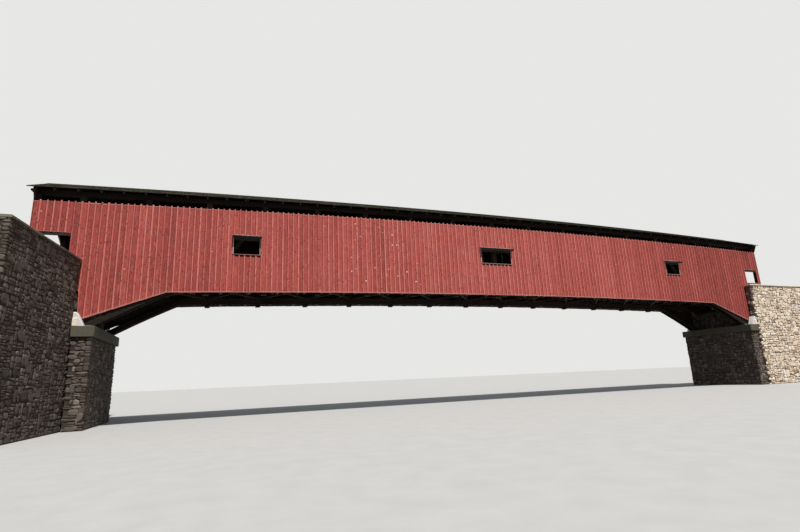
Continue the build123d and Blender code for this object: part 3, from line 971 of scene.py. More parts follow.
@dataclass
class BoardWall:
    """One long wall of boards with battens over their joints.

    Attributes:
        side: which of the two walls it is.
        boards: how many boards it has.
        half_length: half its length.
        inner: distance across of the boards' backs.
        face: that of the boards' faces.
        batten_face: that of the battens' faces.
        batten_half: half a batten's width.
        top: height of the boards' tops.
        batten_top: height of the battens' tops.
        slope_start: distance from midspan where the bottom edge starts to fall.
        foot: distance from midspan of its lowest place.
        foot_drop: how far it has fallen there.
        end_bottom: height of the bottom edge past that.
        gap: half the open joint between two boards.
        nailers: heights of the rails that the nails are driven into.
        nail: radius of a nail's head.
        stations: shares of a board's height where its rings stand.
        wear_and_highlight: how pale a board is at each of them: worn paint, with a painted
            highlight on its lit ends.
        fading: how much paler or darker the boards are at places along the wall.
    """

    side: Side
    boards: int = 178
    half_length: float = 12.75
    inner: float = 1.236
    face: float = 1.2465
    batten_face: float = 1.2575
    batten_half: float = 0.017
    top: float = 2.276
    batten_top: float = 2.303
    slope_start: float = 9.725
    foot: float = 11.6
    foot_drop: float = 0.66
    end_bottom: float = 0.05
    gap: float = 0.0025
    nailers: tuple[float, ...] = (0.075, 0.9, 1.64, 2.22)
    nail: float = 0.0042
    stations: tuple[float, ...] = (0.0, 0.011, 0.019, 0.33, 0.66, 0.992, 1.0)
    wear_and_highlight: tuple[float, ...] = (0.5, 0.4, 0.0, 0.0, 0.0, 0.0, 1.0)
    fading: tuple[Pair, ...] = (
        (-12.75, -0.04),
        (-9.5, 0.08),
        (-4.5, 0.20),
        (-1.0, 0.28),
        (4.5, 0.22),
        (8.0, 0.02),
        (10.0, -0.17),
    )

    @classmethod
    def edges(cls) -> Array:
        """Distances from midspan of the boards' edges, where the battens' middles are."""
        return np.linspace(-cls.half_length, cls.half_length, cls.boards + 1)

    def tones(self, rng: np.random.Generator, x: Array, middle: float, chance: float) -> Array:
        """Tones that scatter about a middle one, shifted paler or darker by where x lies along the
        wall.
        """
        return tones_about(rng, middle + np.interp(x, *zip(*self.fading)), chance, len(x))

    def bottom_at(self, x: Array) -> Array:
        """Flat height of the wall's bottom edge, read just inside each strip (strips, points).

        It is zero to the slope's start, then falls straight to the foot, then is the raised end.
        """
        inside = np.abs(np.clip(x, x[:, :1] + SLIVER, x[:, -1:] - SLIVER))
        run = (inside - self.slope_start) / (self.foot - self.slope_start)
        slope = -self.foot_drop * np.clip(run, 0.0, 1.0)
        return np.where(inside > self.foot, self.end_bottom, slope)

    def spans(self, x: Array, low: Array, high: Array) -> Iterator[tuple[Array, Array, Array]]:
        """The stretches of each strip that no opening takes.

        Args:
            x: (strips, points) distances from midspan around each strip's ring.
            low: bottom of each point.
            high: top of each point.

        Returns:
            (strip numbers, bottoms, tops) for whole strips, and below and above each opening.
        """
        middle = x.mean(axis=1)
        holes = [hole.reach() for hole in OPENINGS]
        taken = [np.nonzero((middle > left) & (middle < right))[0] for left, right in holes]
        whole = np.setdiff1d(np.arange(len(x)), np.concatenate(taken))
        yield whole, low[whole], high[whole]
        for hole, strips in zip(OPENINGS, taken):
            yield strips, low[strips], CAMBER.height(x[strips], hole.level(hole.sill))
            yield strips, CAMBER.height(x[strips], hole.level(hole.head)), high[strips]

    def upright(
        self, x: Array, y: Array, tone: Array, ends: Sequence[Array], owner: Sequence[Array]
    ) -> Rings:
        """Rings in plan carried up between openings.

        Args:
            x: (strips, points) distances from midspan around each strip.
            y: (strips, points) distances across.
            tone: one for each strip.
            ends: each strip's bottom and top.
            owner: (middle, number) of the board that each strip is a part of.

        Returns:
            Rings with grain coordinates that run on from strip to strip of one board: height
            along, x less the board's middle across.
        """
        low = self.bottom_at(x) + ends[0][:, None]
        high = np.broadcast_to(ends[1][:, None], x.shape)
        flats, tones, grains = [], [], []
        for strips, bottom, ceiling in self.spans(x, low, high):
            height = between(bottom, ceiling, self.stations)
            flat = stacked(x[strips][:, None], y[strips][:, None] * self.side.value, height)
            middle, number = (each[strips][:, None, None] for each in owner)
            jump = number * GOLDEN % 1.0
            u, v, w = flat[..., 2] + jump * 41.0, flat[..., 0] - middle, flat[..., 1] + jump * 97.0
            flats.append(flat)
            tones.append(tone[strips])
            grains.append(np.stack([u, v, w], -1))
        points, grain = CAMBER.bend(np.concatenate(flats)), np.concatenate(grains)
        return Rings(points, np.concatenate(tones), self.wear_and_highlight, grain=grain)

    def board_rings(self, rng: np.random.Generator) -> Rings:
        """The boards of the wall.

        Args:
            rng: the source of chance.

        Returns:
            Six points in plan around each board, its back unpainted.
        """
        edges, count = self.edges(), self.boards
        sides = [side for hole in OPENINGS for side in hole.reach()]
        cuts = np.concatenate([edges, sides, [-self.foot, self.foot]])
        cuts = np.unique(np.round(cuts, 5))
        wide = np.diff(cuts) > SLIVER
        left, right = cuts[:-1][wide], cuts[1:][wide]
        board = np.clip(np.searchsorted(edges, (left + right) / 2) - 1, 0, count - 1)
        middle = (edges[:-1] + edges[1:]) / 2
        tone = self.tones(rng, middle, 0.47, 0.08)
        tone = np.where(rng.random(count) < 0.06, tone * 0.7, tone)
        open_left = np.isclose(left, edges[board], atol=2e-5) * self.gap
        open_right = np.isclose(right, edges[board + 1], atol=2e-5) * self.gap
        face = self.face + rng.uniform(-0.0012, 0.0012, count)[board]
        back = np.full_like(left, self.inner)
        x = np.stack([left, left, left + open_left, right - open_right, right, right], 1)
        y = np.stack([back, face - open_left, face, face, face - open_right, back], 1)
        foot, top = rng.normal(0.0, 0.002, count), self.top + rng.normal(0.0, 0.0025, count)
        ends = foot[board], top[board]
        rings = self.upright(x, y, tone[board], ends, (middle[board], board))
        return replace(rings, bare=(5,))

    def batten_rings(self, rng: np.random.Generator) -> Rings:
        """The battens over every joint.

        Args:
            rng: the source of chance.

        Returns:
            Six points in plan around each batten, which stands up past the boards.
        """
        joints = self.edges()[1:-1]
        count = len(joints)
        centre = joints + rng.normal(0.0, 0.0015, count)
        half = self.batten_half + rng.uniform(-0.003, 0.003, count)
        tone = self.tones(rng, joints, 0.5, 0.12)
        x = centre[:, None] + half[:, None] * np.array([-1.0, -1.0, -0.85, 0.85, 1.0, 1.0])
        foot, shoulder, face = self.face - 0.002, self.batten_face - 0.003, self.batten_face
        y = np.broadcast_to([foot, shoulder, face, face, shoulder, foot], x.shape)
        ends = rng.normal(0.001, 0.003, count), self.batten_top + rng.normal(0, 0.003, count)
        return self.upright(x, y, tone, ends, (centre, np.arange(count) + 500))

    def nail_rings(self, rng: np.random.Generator) -> Rings:
        """The nail heads at each rail behind.

        Args:
            rng: the source of chance.

        Returns:
            Five-sided rods, two to a board and one to a batten.
        """
        edges = self.edges()
        middle = (edges[:-1] + edges[1:]) / 2
        x = np.concatenate([middle - 0.035, middle + 0.035, edges[1:-1]])
        face = np.where(np.arange(len(x)) < 2 * self.boards, self.face, self.batten_face)
        x, h = [a.ravel() for a in np.meshgrid(x, self.nailers)]
        face = np.tile(face, len(self.nailers))
        x, h = x + rng.normal(0, 0.004, len(x)), h + rng.normal(0, 0.008, len(x))
        clear = (h > 0.3) | (np.abs(x) < self.slope_start)
        for hole in OPENINGS:
            left, right = hole.reach(0.01)
            near = (x > left) & (x < right)
            clear &= ~(near & (h > hole.sill - 0.06) & (h < hole.head + 0.09))
        start = stacked(x, (face - 0.001) * self.side.value, h)[clear]
        end = start + [0.0, 0.0028 * self.side.value, 0.0]
        heads = rods(CAMBER.bend(start), CAMBER.bend(end), self.nail, 5)
        return Rings(heads, rng.random(len(heads)))

    def build(self) -> None:
        """Make the boards, the battens and the nail heads of this wall."""
        rng = np.random.default_rng(40 + self.side.value)
        name = f"{self.side.label}_wall"
        kit = (Finish.BOARDS, Finish.BOARD_BACKS)
        add_piece(f"{name}_boards", [self.board_rings(rng)], kit, name)
        add_piece(f"{name}_battens", [self.batten_rings(rng)], [Finish.BATTENS])
        add_piece(f"{name}_nails", [self.nail_rings(rng)], [Finish.NAILS])


class Lie(Enum):
    """How the strips of one kind lie at an opening."""

    ALONG = "one along its head or sill"
    BETWEEN = "pieces along it between the battens"
    BESIDE = "one upright on each side"


@dataclass(frozen=True)
class Strip:
    """One kind of straight trim at the openings.

    Attributes:
        name: its piece's name.
        finish: its finish.
        past: how far it runs past the opening's sides.
        y: distances across of its back and its face.
        z: its bottom and its top, over the opening's head or sill.
        lie: how it lies.
        sill: whether it is at the sill.
        bevel: how much its long edges are cut back.
        node: the CAD node that it takes the place of.
        hooded: whether it is at the windows, or else at the end openings.
        width: width of a strip beside the opening.
        uneven: how much higher the tops of the pieces between battens may be.
    """

    name: str
    finish: Finish
    past: float
    y: Pair
    z: Pair
    lie: Lie = Lie.ALONG
    sill: bool = False
    bevel: float = 0.002
    node: str = ""
    hooded: bool = True
    width: float = 0.020
    uneven: float = 0.0

    def joints(self, left: float, right: float, cover: float = 0.018) -> list[Pair]:
        """The stretches that no batten covers.

        Args:
            left: row X where the first may start.
            right: row X where the last may end.
            cover: half of what a batten covers.

        Returns:
            The row X of each one's start and end.
        """
        joints = BoardWall.edges()[1:-1] + CAMBER.middle
        inside = joints[(joints > left) & (joints < right)]
        edges = np.concatenate([[left - cover], inside, [right + cover]])
        return [(a, b) for a, b in zip(*gapped(edges, cover)) if b - a > 0.015]

    def shape(self, hole: Opening) -> Array:
        """The strip at one opening.

        Args:
            hole: the opening.

        Returns:
            The ring points of its bars.
        """
        left, right = np.array(hole.reach(self.past)) + CAMBER.middle
        sill, head = hole.level(hole.sill), hole.level(hole.head)
        if self.lie is Lie.BESIDE:
            a, b = np.array([[left - self.width, left], [right, right + self.width]]).T
            return bars(stacked(a, b, *self.y, sill, head), 2, self.bevel)
        low, high = np.array(self.z) + (sill if self.sill else head)
        if self.lie is Lie.ALONG:
            return bars(np.array([[left, right, *self.y, low, high]]), 0, self.bevel)
        a, b = np.array(self.joints(left, right)).T
        top = high + self.uneven * np.sin(np.arange(len(a)) * 2.4) ** 2
        return bars(stacked(a, b, *self.y, low, top), 0, self.bevel)


STRIPS = (
    Strip("hood_drips", Finish.TAR_AND_SHADE, 0.045, (1.386, 1.400), (-0.064, -0.026), bevel=0.003),
    Strip("hood_lips", Finish.HOOD, 0.035, (1.374, 1.386), (-0.090, -0.048)),
    Strip(
        "sill_boards", Finish.FADED, 0.030, (1.236, 1.270), (-0.015, 0.0), sill=True,
        node="window_sills",
    ),
    # Near-black strips on the boards under each sill, between the battens: the sill's painted
    # shadow.
    Strip(
        "sill_shadow_strips", Finish.TAR_AND_SHADE, 0.020, (1.2455, 1.2565), (-0.055, -0.0155), Lie.BETWEEN,
        sill=True,
    ),
    Strip("window_casings", Finish.BLEACHED, -0.003, (1.2455, 1.2605), (0.0, 0.0), Lie.BESIDE),
    Strip(
        "hood_flashing", Finish.BLEACHED, 0.045, (1.2455, 1.2505), (-0.036, 0.030), Lie.BETWEEN,
        bevel=0.0, uneven=0.010,
    ),
    Strip(
        "end_headers", Finish.BOARD_BACKS, 0.100, (1.191, 1.236), (-0.075, 0.040), bevel=0.003,
        hooded=False,
    ),
    Strip("window_rails", Finish.BOARD_BACKS, 0.080, (1.206, 1.234), (-0.115, 0.030), bevel=0.003),
)


@dataclass
class WindowTrim:
    """The windows' hoods, and the straight trim of all openings.

    Attributes:
        wall: distance across of the wall's nominal face.
        root: how high over the opening's head a hood meets the wall, at its top.
        reach: how far a hood stands out.
        front: how high over the head the top of its front is.
        past: how far a hood runs past the opening's sides.
        rows: how many boards lie side by side in a hood.
        drip: thickness of the drip board before them.
    """

    wall: float = 1.25
    root: float = 0.024
    reach: float = 0.15
    front: float = -0.028
    past: float = 0.045
    rows: int = 3
    drip: float = 0.014

    def hood(self, hole: Opening) -> Array:
        """Sloping boards from the wall to the drip board.

        Args:
            hole: the opening.

        Returns:
            For each board a ring of eight points in end view, carried over the hood's length:
            height falls evenly from the root to the front.
        """
        edges = np.linspace(0.0, self.reach - self.drip, self.rows + 1)[:, None]
        near, far = gapped(edges, 0.001)
        inner, outer = near + 0.002, far - 0.002
        y = np.concatenate([near, near, inner, outer, far, far, outer, inner], 1)
        drop = np.array([-0.014, -0.002, 0.0, 0.0, -0.002, -0.014, -0.016, -0.016])
        fall = (self.root - self.front) / self.reach
        z = hole.level(hole.head) + self.root - fall * y + drop
        x = np.array(hole.reach(self.past))[:, None] + CAMBER.middle
        return stacked(x, y[:, None] + self.wall, z[:, None])

    def build(self) -> None:
        """Make the trim of both walls."""
        rng = np.random.default_rng(17)
        hood = ("hood_boards", Finish.HOOD, "window_hoods", self.hood, True)
        strips = [(s.name, s.finish, s.node, s.shape, s.hooded) for s in STRIPS]
        for name, finish, node, shape, hooded in [hood, *strips]:
            found = [shape(hole) for hole in OPENINGS if hole.hooded is hooded]
            points = mirrored(np.concatenate(found))
            add_piece(name, [Rings(points, rng.random(len(points)))], [finish], node)


@dataclass
class ShingleRoof:
    """One slope of the roof, with its shingles on lath.

    Attributes:
        side: which slope it is.
        courses: how many rows of shingles it has.
        half_length: half its length.
        eave: distance across of the eave.
        eave_height: height of the roof's top face there.
        ridge_height: height of the ridge.
        thickness: a shingle's thickness at its butt.
        widths: the least and the greatest width of a shingle.
        lap: how many courses a shingle runs under.
        stations: how many rings the long strips have.
    """

    side: Side
    courses: int = 18
    half_length: float = 12.89
    eave: float = 1.4
    eave_height: float = 2.6
    ridge_height: float = 3.225
    thickness: float = 0.007
    widths: Pair = (0.065, 0.135)
    lap: float = 2.2
    stations: int = 33

    def on_slope(self, x: Array, run: Array, depth: Array) -> Array:
        """Row coordinates of a point on the slope.

        Args:
            x: distance from midspan.
            run: 0 at the ridge and 1 at the eave.
            depth: distance square into the roof.

        Returns:
            The bent point: y is run times the eave's distance, height falls from ridge to eave.
        """
        fall = self.ridge_height - self.eave_height
        length = math.hypot(self.eave, fall)
        y = np.maximum(run * self.eave - depth * fall / length, 0.0) * self.side.value
        height = self.ridge_height - run * fall - depth * self.eave / length
        return CAMBER.bend(stacked(x, y, height))

    def course(self, rng: np.random.Generator, number: int) -> tuple[Array, Array, Array]:
        """One course's shingles.

        Args:
            rng: the source of chance.
            number: the course's number, from the ridge down.

        Returns:
            Their left sides, their right sides and how far down the slope their butts lie.
        """
        edge = np.cumsum(rng.uniform(*self.widths, 400)) - self.half_length - rng.uniform(0.0, 0.06)
        inside = edge[np.abs(edge) < self.half_length - 0.05]
        edges = np.concatenate([[-self.half_length], inside, [self.half_length]])
        ragged = 0.0 if number == self.courses - 1 else 0.0025
        butt = (number + 1) / self.courses + rng.normal(0.0, ragged, len(edges) - 1)
        return *gapped(edges, 0.001), np.minimum(butt, 1.0)

    def shingle_rings(self, rng: np.random.Generator) -> Rings:
        """All shingles of the slope.

        Args:
            rng: the source of chance.

        Returns:
            Four-point rings carried from the head of each shingle down to its thicker butt.
        """
        rows = [self.course(rng, number) for number in range(self.courses)]
        left, right, butt = (np.concatenate(each) for each in zip(*rows))
        head = np.round(butt * self.courses) / self.courses - self.lap / self.courses
        head = np.maximum(0.0, head)
        lift = rng.uniform(0.0, 0.003, len(left))
        x = np.stack([left, left, right, right], 1)[:, None]
        run = np.stack([head, butt], 1)[:, :, None]
        top = stacked(0.0150, 0.0045 + lift)
        low = stacked(0.0185, self.thickness + 0.0075 + lift)
        depth = np.stack([low, top, top, low], -1)
        tone = tones_about(rng, 0.5, 0.25, len(left))
        return Rings(self.on_slope(x, run, depth), tone)

    def long_strip(self, run: Pair, depth: Pair) -> Array:
        """One strip along the whole roof.

        Args:
            run: its upper and its lower edge's places on the slope.
            depth: how deep its top and its underside lie.

        Returns:
            A four-point ring carried along the roof.
        """
        x = np.linspace(-self.half_length, self.half_length, self.stations)[None, :, None]
        across = np.array([run[0], run[0], run[1], run[1]])
        return self.on_slope(x, across, np.array([depth[1], depth[0], depth[0], depth[1]]))

    def build(self) -> None:
        """Make this slope's shingles with the ridge's cap board, and a lath for each course."""
        rng = np.random.default_rng(70 + self.side.value)
        name = f"{self.side.label}_roof"
        cap = Rings(self.long_strip((0.0, 0.062), (0.0006, 0.0045)), np.array([0.6]))
        shingles = [self.shingle_rings(rng), cap]
        add_piece(f"{name}_shingles", shingles, [Finish.SHINGLES], name)
        places = (np.arange(self.courses) + 0.6) / self.courses
        laths = [self.long_strip((p - 0.016, p + 0.016), (0.0190, 0.0298)) for p in places]
        add_piece(f"{name}_lath", [Rings(np.concatenate(laths), places)], [Finish.TIMBER])


@dataclass
class Portal:
    """The boarded gable at one end, with its arched carriageway.

    Attributes:
        bank: which end it is at.
        boards: how many boards it has.
        end: distance from midspan of its face.
        thickness: its boards' thickness.
        half_width: half its width.
        way: half the carriageway's width.
        spring: height where the carriageway's arch starts.
        crown: height of the arch's top.
        bottom: height of the boards' feet.
        ridge: height of the roof's ridge.
        pitch: the roof's fall for each metre across.
        chord: distances across of the upper chord's faces, and height of its underside.
        samples: how many points each board's face has across.
        batten: half a batten's width.
        casing: width of the board round the arch.
    """

    bank: Bank
    boards: int = 17
    end: float = 12.75
    thickness: float = 0.014
    half_width: float = 1.236
    way: float = 1.0906
    spring: float = 1.85
    crown: float = 2.18
    bottom: float = 0.05
    ridge: float = 3.225
    pitch: float = 0.625 / 1.4
    chord: tuple[float, float, float] = (1.020, 1.132, 2.473)
    samples: int = 6
    batten: float = 0.017
    casing: float = 0.058

    def roof(self, y: Array, drop: float) -> Array:
        """Height of the roof's top face at y, less a square drop."""
        return self.ridge - np.abs(y) * self.pitch - drop * math.hypot(1.0, self.pitch)

    def arch(self, y: Array) -> Array:
        """Height of the carriageway's arch: a circle through its springs and its crown."""
        radius = arc_radius(self.way, self.crown - self.spring)
        return self.crown - radius + np.sqrt(radius**2 - np.clip(np.abs(y), 0.0, self.way) ** 2)

    def columns(self, left: Array, right: Array, tone: Array, faces: Pair) -> Rings:
        """Upright boards between the carriageway's edge and the roof.

        Args:
            left: left edges across the bridge.
            right: right edges.
            tone: one for each board.
            faces: distances from midspan of the outer face and the inner.

        Returns:
            Rings of points on the outer face and as many on the inner, each point carried from its
            own bottom to its own top, and cut round the end of the upper chord.
        """
        near, far, under = self.chord
        cuts = np.array([-far, -near, near, far])
        rows = []
        for a, b, c in zip(left, right, tone):
            edges = [a, *cuts[(cuts > a + SLIVER) & (cuts < b - SLIVER)], b]
            rows += [(start, end, c) for start, end in zip(edges[:-1], edges[1:])]
        a, b, c = np.array(rows).T
        outer = a[:, None] + (b - a)[:, None] * np.linspace(0.0, 1.0, self.samples)
        y = np.concatenate([outer, outer[:, ::-1]], 1)
        middle = np.abs(a + b) / 2
        low = np.where(middle[:, None] < self.way, self.arch(y), self.bottom)
        high = self.roof(y, 0.030)
        beside = (middle > near) & (middle < far)
        lows = np.concatenate([low, self.roof(y, 0.092)[beside]])
        highs = np.concatenate([np.where(beside[:, None], under, high), high[beside]])
        x = np.repeat(faces, self.samples) * self.bank.value
        height = between(lows, highs, (0.0, 0.02, 0.5, 0.99, 1.0))
        flat = stacked(x, np.concatenate([y, y[beside]])[:, None], height)
        tones = np.concatenate([c, c[beside]])
        # The boards' feet and tops are paler: worn paint with a painted highlight.
        return Rings(CAMBER.bend(flat), tones, (1.0, 0.0, 0.0, 0.0, 0.5))

    def casing_rings(self) -> Rings:
        """The bent board round the arch: a four-point ring carried over it in 33 stations."""
        y = np.linspace(-self.way, self.way, 33)[:, None]
        x = (np.array([-0.002, -0.002, 0.016, 0.016]) + self.end) * self.bank.value
        h = self.arch(y) + np.array([0.0, self.casing, self.casing, 0.0])
        return Rings(CAMBER.bend(stacked(x, y, h)[None]), np.array([0.6]))

    def eave_returns(self) -> Rings:
        """Boards that close the ends of the eaves, widening upwards: four points, along X."""
        y = np.array([self.half_width, self.half_width, 1.380, 1.262])
        h = np.where([False, True, True, False], self.roof(y, 0.034), 2.31)
        x = np.array([[self.end - self.thickness], [self.end]]) * self.bank.value
        return Rings(mirrored(CAMBER.bend(stacked(x, y, h)[None])), np.array([0.4, 0.6]))

    def build(self) -> None:
        """Make the boards, the battens over their joints and the arch's casing."""
        rng = np.random.default_rng(90 + self.bank.value)
        name = self.bank.label
        edges = np.linspace(-self.half_width, self.half_width, self.boards + 1)
        tone = tones_about(rng, 0.5, 0.17, self.boards)
        faces = (self.end, self.end - self.thickness)
        boards = self.columns(*gapped(edges, 0.001), tone, faces)
        boards.bare = tuple(range(self.samples - 1, 2 * self.samples))
        kit = (Finish.BOARDS, Finish.BOARD_BACKS)
        add_piece(f"{name}_portal_boards", [boards], kit, f"{name}_portal")
        joint = edges.copy()
        joint[[0, 1, -2, -1]] += np.array([1, -1, 1, -1]) * self.batten
        tone = tones_about(rng, 0.5, 0.15, len(joint))
        faces = (self.end + 0.011, self.end - 0.002)
        battens = self.columns(joint - self.batten, joint + self.batten, tone, faces)
        parts = [battens, self.casing_rings()]
        add_piece(f"{name}_portal_battens", parts, [Finish.BATTENS])
        add_piece(f"{name}_eave_returns", [self.eave_returns()], [Finish.BOARD_BACKS])


@dataclass
class StoneFace:
    """One upright face of rubble masonry.

    Attributes:
        start: row position of its lower left corner, seen from outside.
        along: unit direction to its right, seen from outside.
        length: its length.
        low: bottom of the masonry.
        high: top of the masonry.
        depth: how deep its stones run.
        size: how large they are, beside the usual.
        corner: which courses run through at its left end and at its right end.
        damp: how far from its left end and from its right end its stones are darker, as painted
            shade, at its top.
        taper: how much narrower that strip gets for each metre down.
    """

    start: Pair
    along: Pair
    length: float
    low: float
    high: float
    depth: float
    size: float
    corner: tuple[int, int]
    damp: Pair
    taper: float = 0.26

    def stones(self, rng: np.random.Generator, courses: Array) -> Rings:
        """Rough stones that fill the face.

        Args:
            rng: the source of chance.
            courses: heights of all the course joints, shared by the faces of one wall.

        Returns:
            A rectangle for each stone, made rough by pillows.
        """
        patches = np.cumsum(rng.uniform(0.30, 0.75, 40)) * self.size
        edges = np.concatenate([[0.0], patches[patches < self.length - 0.25], [self.length]])
        last = len(edges) - 2
        found = []
        for number, (left, right) in enumerate(zip(edges[:-1], edges[1:])):
            rows = courses if number in (0, last) else self.own_courses(rng)
            for row, (bottom, top) in enumerate(zip(rows[:-1], rows[1:])):
                bottom, top = max(bottom, self.low), min(top, self.high)
                if top - bottom < 0.012:
                    continue
                short = [row % 2 != through for through in self.corner]
                a = self.depth if number == 0 and short[0] else left
                b = self.length - self.depth if number == last and short[1] else right
                found.append(self.row_cells(rng, a, b, bottom, top))
        return self.pillows(rng, np.concatenate(found))

    def own_courses(self, rng: np.random.Generator) -> Array:
        """Course joints for one patch of the face."""
        steps = np.cumsum(rng.uniform(0.055, 0.150, 80)) * self.size
        return self.low + np.concatenate([[0.0], steps])

    def row_cells(
        self, rng: np.random.Generator, left: float, right: float, low: float, high: float
    ) -> Array:
        """Rectangles for one row of stones in a patch.

        Args:
            rng: the source of chance.
            left: the row's left end along the face.
            right: its right end.
            low: its bottom.
            high: its top.

        Returns:
            Rows of left, right, bottom, top and how far the stone stands proud. Some stones reach
            up over the next row, and some are two thin ones.
        """
        count = max(1, int(round((right - left) / (rng.uniform(0.10, 0.19) * self.size))))
        share = rng.uniform(0.4, 1.8, count)
        edge = left + np.concatenate([[0.0], np.cumsum(share)]) / share.sum() * (right - left)
        a, b = edge[:-1], edge[1:]
        kind = rng.random(count)
        taller = high + 0.6 * (high - low)
        tall = (kind < 0.15) & (taller < self.high)
        split = (kind > 0.70) & (high - low > 0.07)
        middle = low + (high - low) * rng.uniform(0.35, 0.65, count)
        ceiling = np.where(tall, taller, np.where(split, middle, high))
        lower = stacked(a, b, low, ceiling, tall * 0.005)
        return np.concatenate([lower, stacked(a, b, middle, high, 0.0)[split]])

    def pillows(self, rng: np.random.Generator, cells: Array) -> Rings:
        """Stones in given rectangles.

        Args:
            rng: the source of chance.
            cells: rows of left, right, bottom, top and how far the stone stands proud.

        Returns:
            Each rectangle's corners are moved by chance, a squared circle of eight points is laid
            between them by bilinear weights, and the ring is carried out and shrunk at its face.
        """
        left, right, low, high, proud = cells.T[:, :, None]
        count = len(cells)
        angle = (np.arange(8) + 0.5) / 8 * 2 * np.pi + rng.normal(0.0, 0.16, (count, 8))
        power = rng.uniform(0.35, 0.85, (count, 1))
        corner_p, corner_q = np.array([-1, 1, 1, -1]), np.array([-1, -1, 1, 1])
        joint = rng.uniform(0.001, 0.006, (count, 1))
        least = np.minimum(right - left, high - low)
        moved = []
        for start, end, sign in ((left, right, corner_p), (low, high, corner_q)):
            jump = rng.normal(0, 0.12, (count, 4)) * least
            moved.append((start + end) / 2 + sign * ((end - start) / 2 - joint) + jump)
        s = np.clip(moved[0], 0.0, self.length)
        t = np.clip(moved[1], self.low + 0.001, self.high - 0.001)
        shrink = np.array([1.0, 1.0, 0.70])[:, None]
        p, q = (
            (np.sign(wave) * np.abs(wave) ** power)[:, None] * shrink
            for wave in (np.cos(angle), np.sin(angle))
        )
        weight = (1 + corner_p * p[..., None]) * (1 + corner_q * q[..., None]) / 4
        a, b = ((weight * each[:, None, None]).sum(-1) for each in (s, t))
        sunk = rng.uniform(0.006, 0.020, (count, 1, 1)) - proud[:, :, None]
        rim = np.concatenate([np.full((count, 1, 1), self.depth), sunk + 0.006, sunk * 0.35], 1)
        d = -np.maximum(rim + rng.normal(0.0, 0.0012, (count, 3, 8)), 0.0)
        (x, y), (run, rise) = self.start, self.along
        points = np.stack([x + a * run + d * rise, y + a * rise - d * run, b], -1)
        # Stones near a shaded end take the second, darker finish: painted shade that narrows
        # downwards.
        middle = (left + right)[:, 0] / 2
        narrower = self.taper * (self.high - (low + high)[:, 0] / 2)
        damp = (middle < self.damp[0] - narrower) | (middle > self.length - self.damp[1] + narrower)
        tone = tones_about(rng, 0.55, 0.25, count)
        return Rings(points, tone, second=damp | (sum(self.damp) > self.length))


@dataclass(frozen=True)
class Masonry:
    """A mass of rubble masonry: a mortar core with a skin of stones.

    Attributes:
        plan: corners of its plan, counterclockwise from above, in row coordinates.
        low: its bottom.
        high: its top.
        seed: its source of chance.
        sizes: the stones' size on each face, beside the usual, or 0 for a face that never shows.
        shaded_up_to: row X up to which the stones are darker, as painted shade.
        setback: how far the core stays behind the stones' faces.
        depth: how deep the stones run.
    """

    plan: Sequence[Pair]
    low: float
    high: float
    seed: int
    sizes: tuple[float, ...]
    shaded_up_to: float = -100.0
    setback: float = 0.022
    depth: float = 0.10

    def mirrored(self) -> "Masonry":
        """Its mirror image across the bridge, with its plan counterclockwise again."""
        plan = [(x, -y) for x, y in reversed(self.plan)]
        return replace(self, plan=plan, sizes=(*self.sizes[2::-1], self.sizes[3]))

    def core(self) -> Rings:
        """The plan drawn in by the setback and carried up."""
        plan = np.array(self.plan)
        ahead = np.roll(plan, -1, 0) - plan
        ahead /= np.linalg.norm(ahead, axis=1)[:, None]
        outward = np.stack([ahead[:, 1], -ahead[:, 0]], 1)
        before = np.roll(outward, 1, 0)
        shift = (outward + before) / (1 + (outward * before).sum(1))[:, None]
        x, y = (plan - shift * self.setback).T
        z = np.array([[self.low], [self.high - 0.001]])
        return Rings(stacked(x, y, z)[None], np.array([0.5]))

    def skins(self) -> Iterator[Rings]:
        """The stones of every face that shows."""
        rng = np.random.default_rng(self.seed)
        courses = self.low + np.concatenate([[0.0], np.cumsum(rng.uniform(0.060, 0.145, 80))])
        corners = list(self.plan)
        box = np.min(corners, axis=0), np.max(corners, axis=0)
        for number, (a, b) in enumerate(zip(corners, corners[1:] + corners[:1])):
            size = self.sizes[number]
            if not size:
                continue
            length = math.hypot(b[0] - a[0], b[1] - a[1])
            along = ((b[0] - a[0]) / length, (b[1] - a[1]) / length)
            corner = (number % 2, (number + 1) % 2 ^ 1)
            damp = tuple(max(self.shaded_up_to - end[0], 0.0) for end in (a, b))
            levels = (self.low, self.high, self.depth)
            face = StoneFace(a, along, length, *levels, size, corner, damp)
            stones = face.stones(rng, courses[:: 1 if size <= 1.0 else 2])
            stones.points[..., :2] = np.clip(stones.points[..., :2], *box)
            yield stones


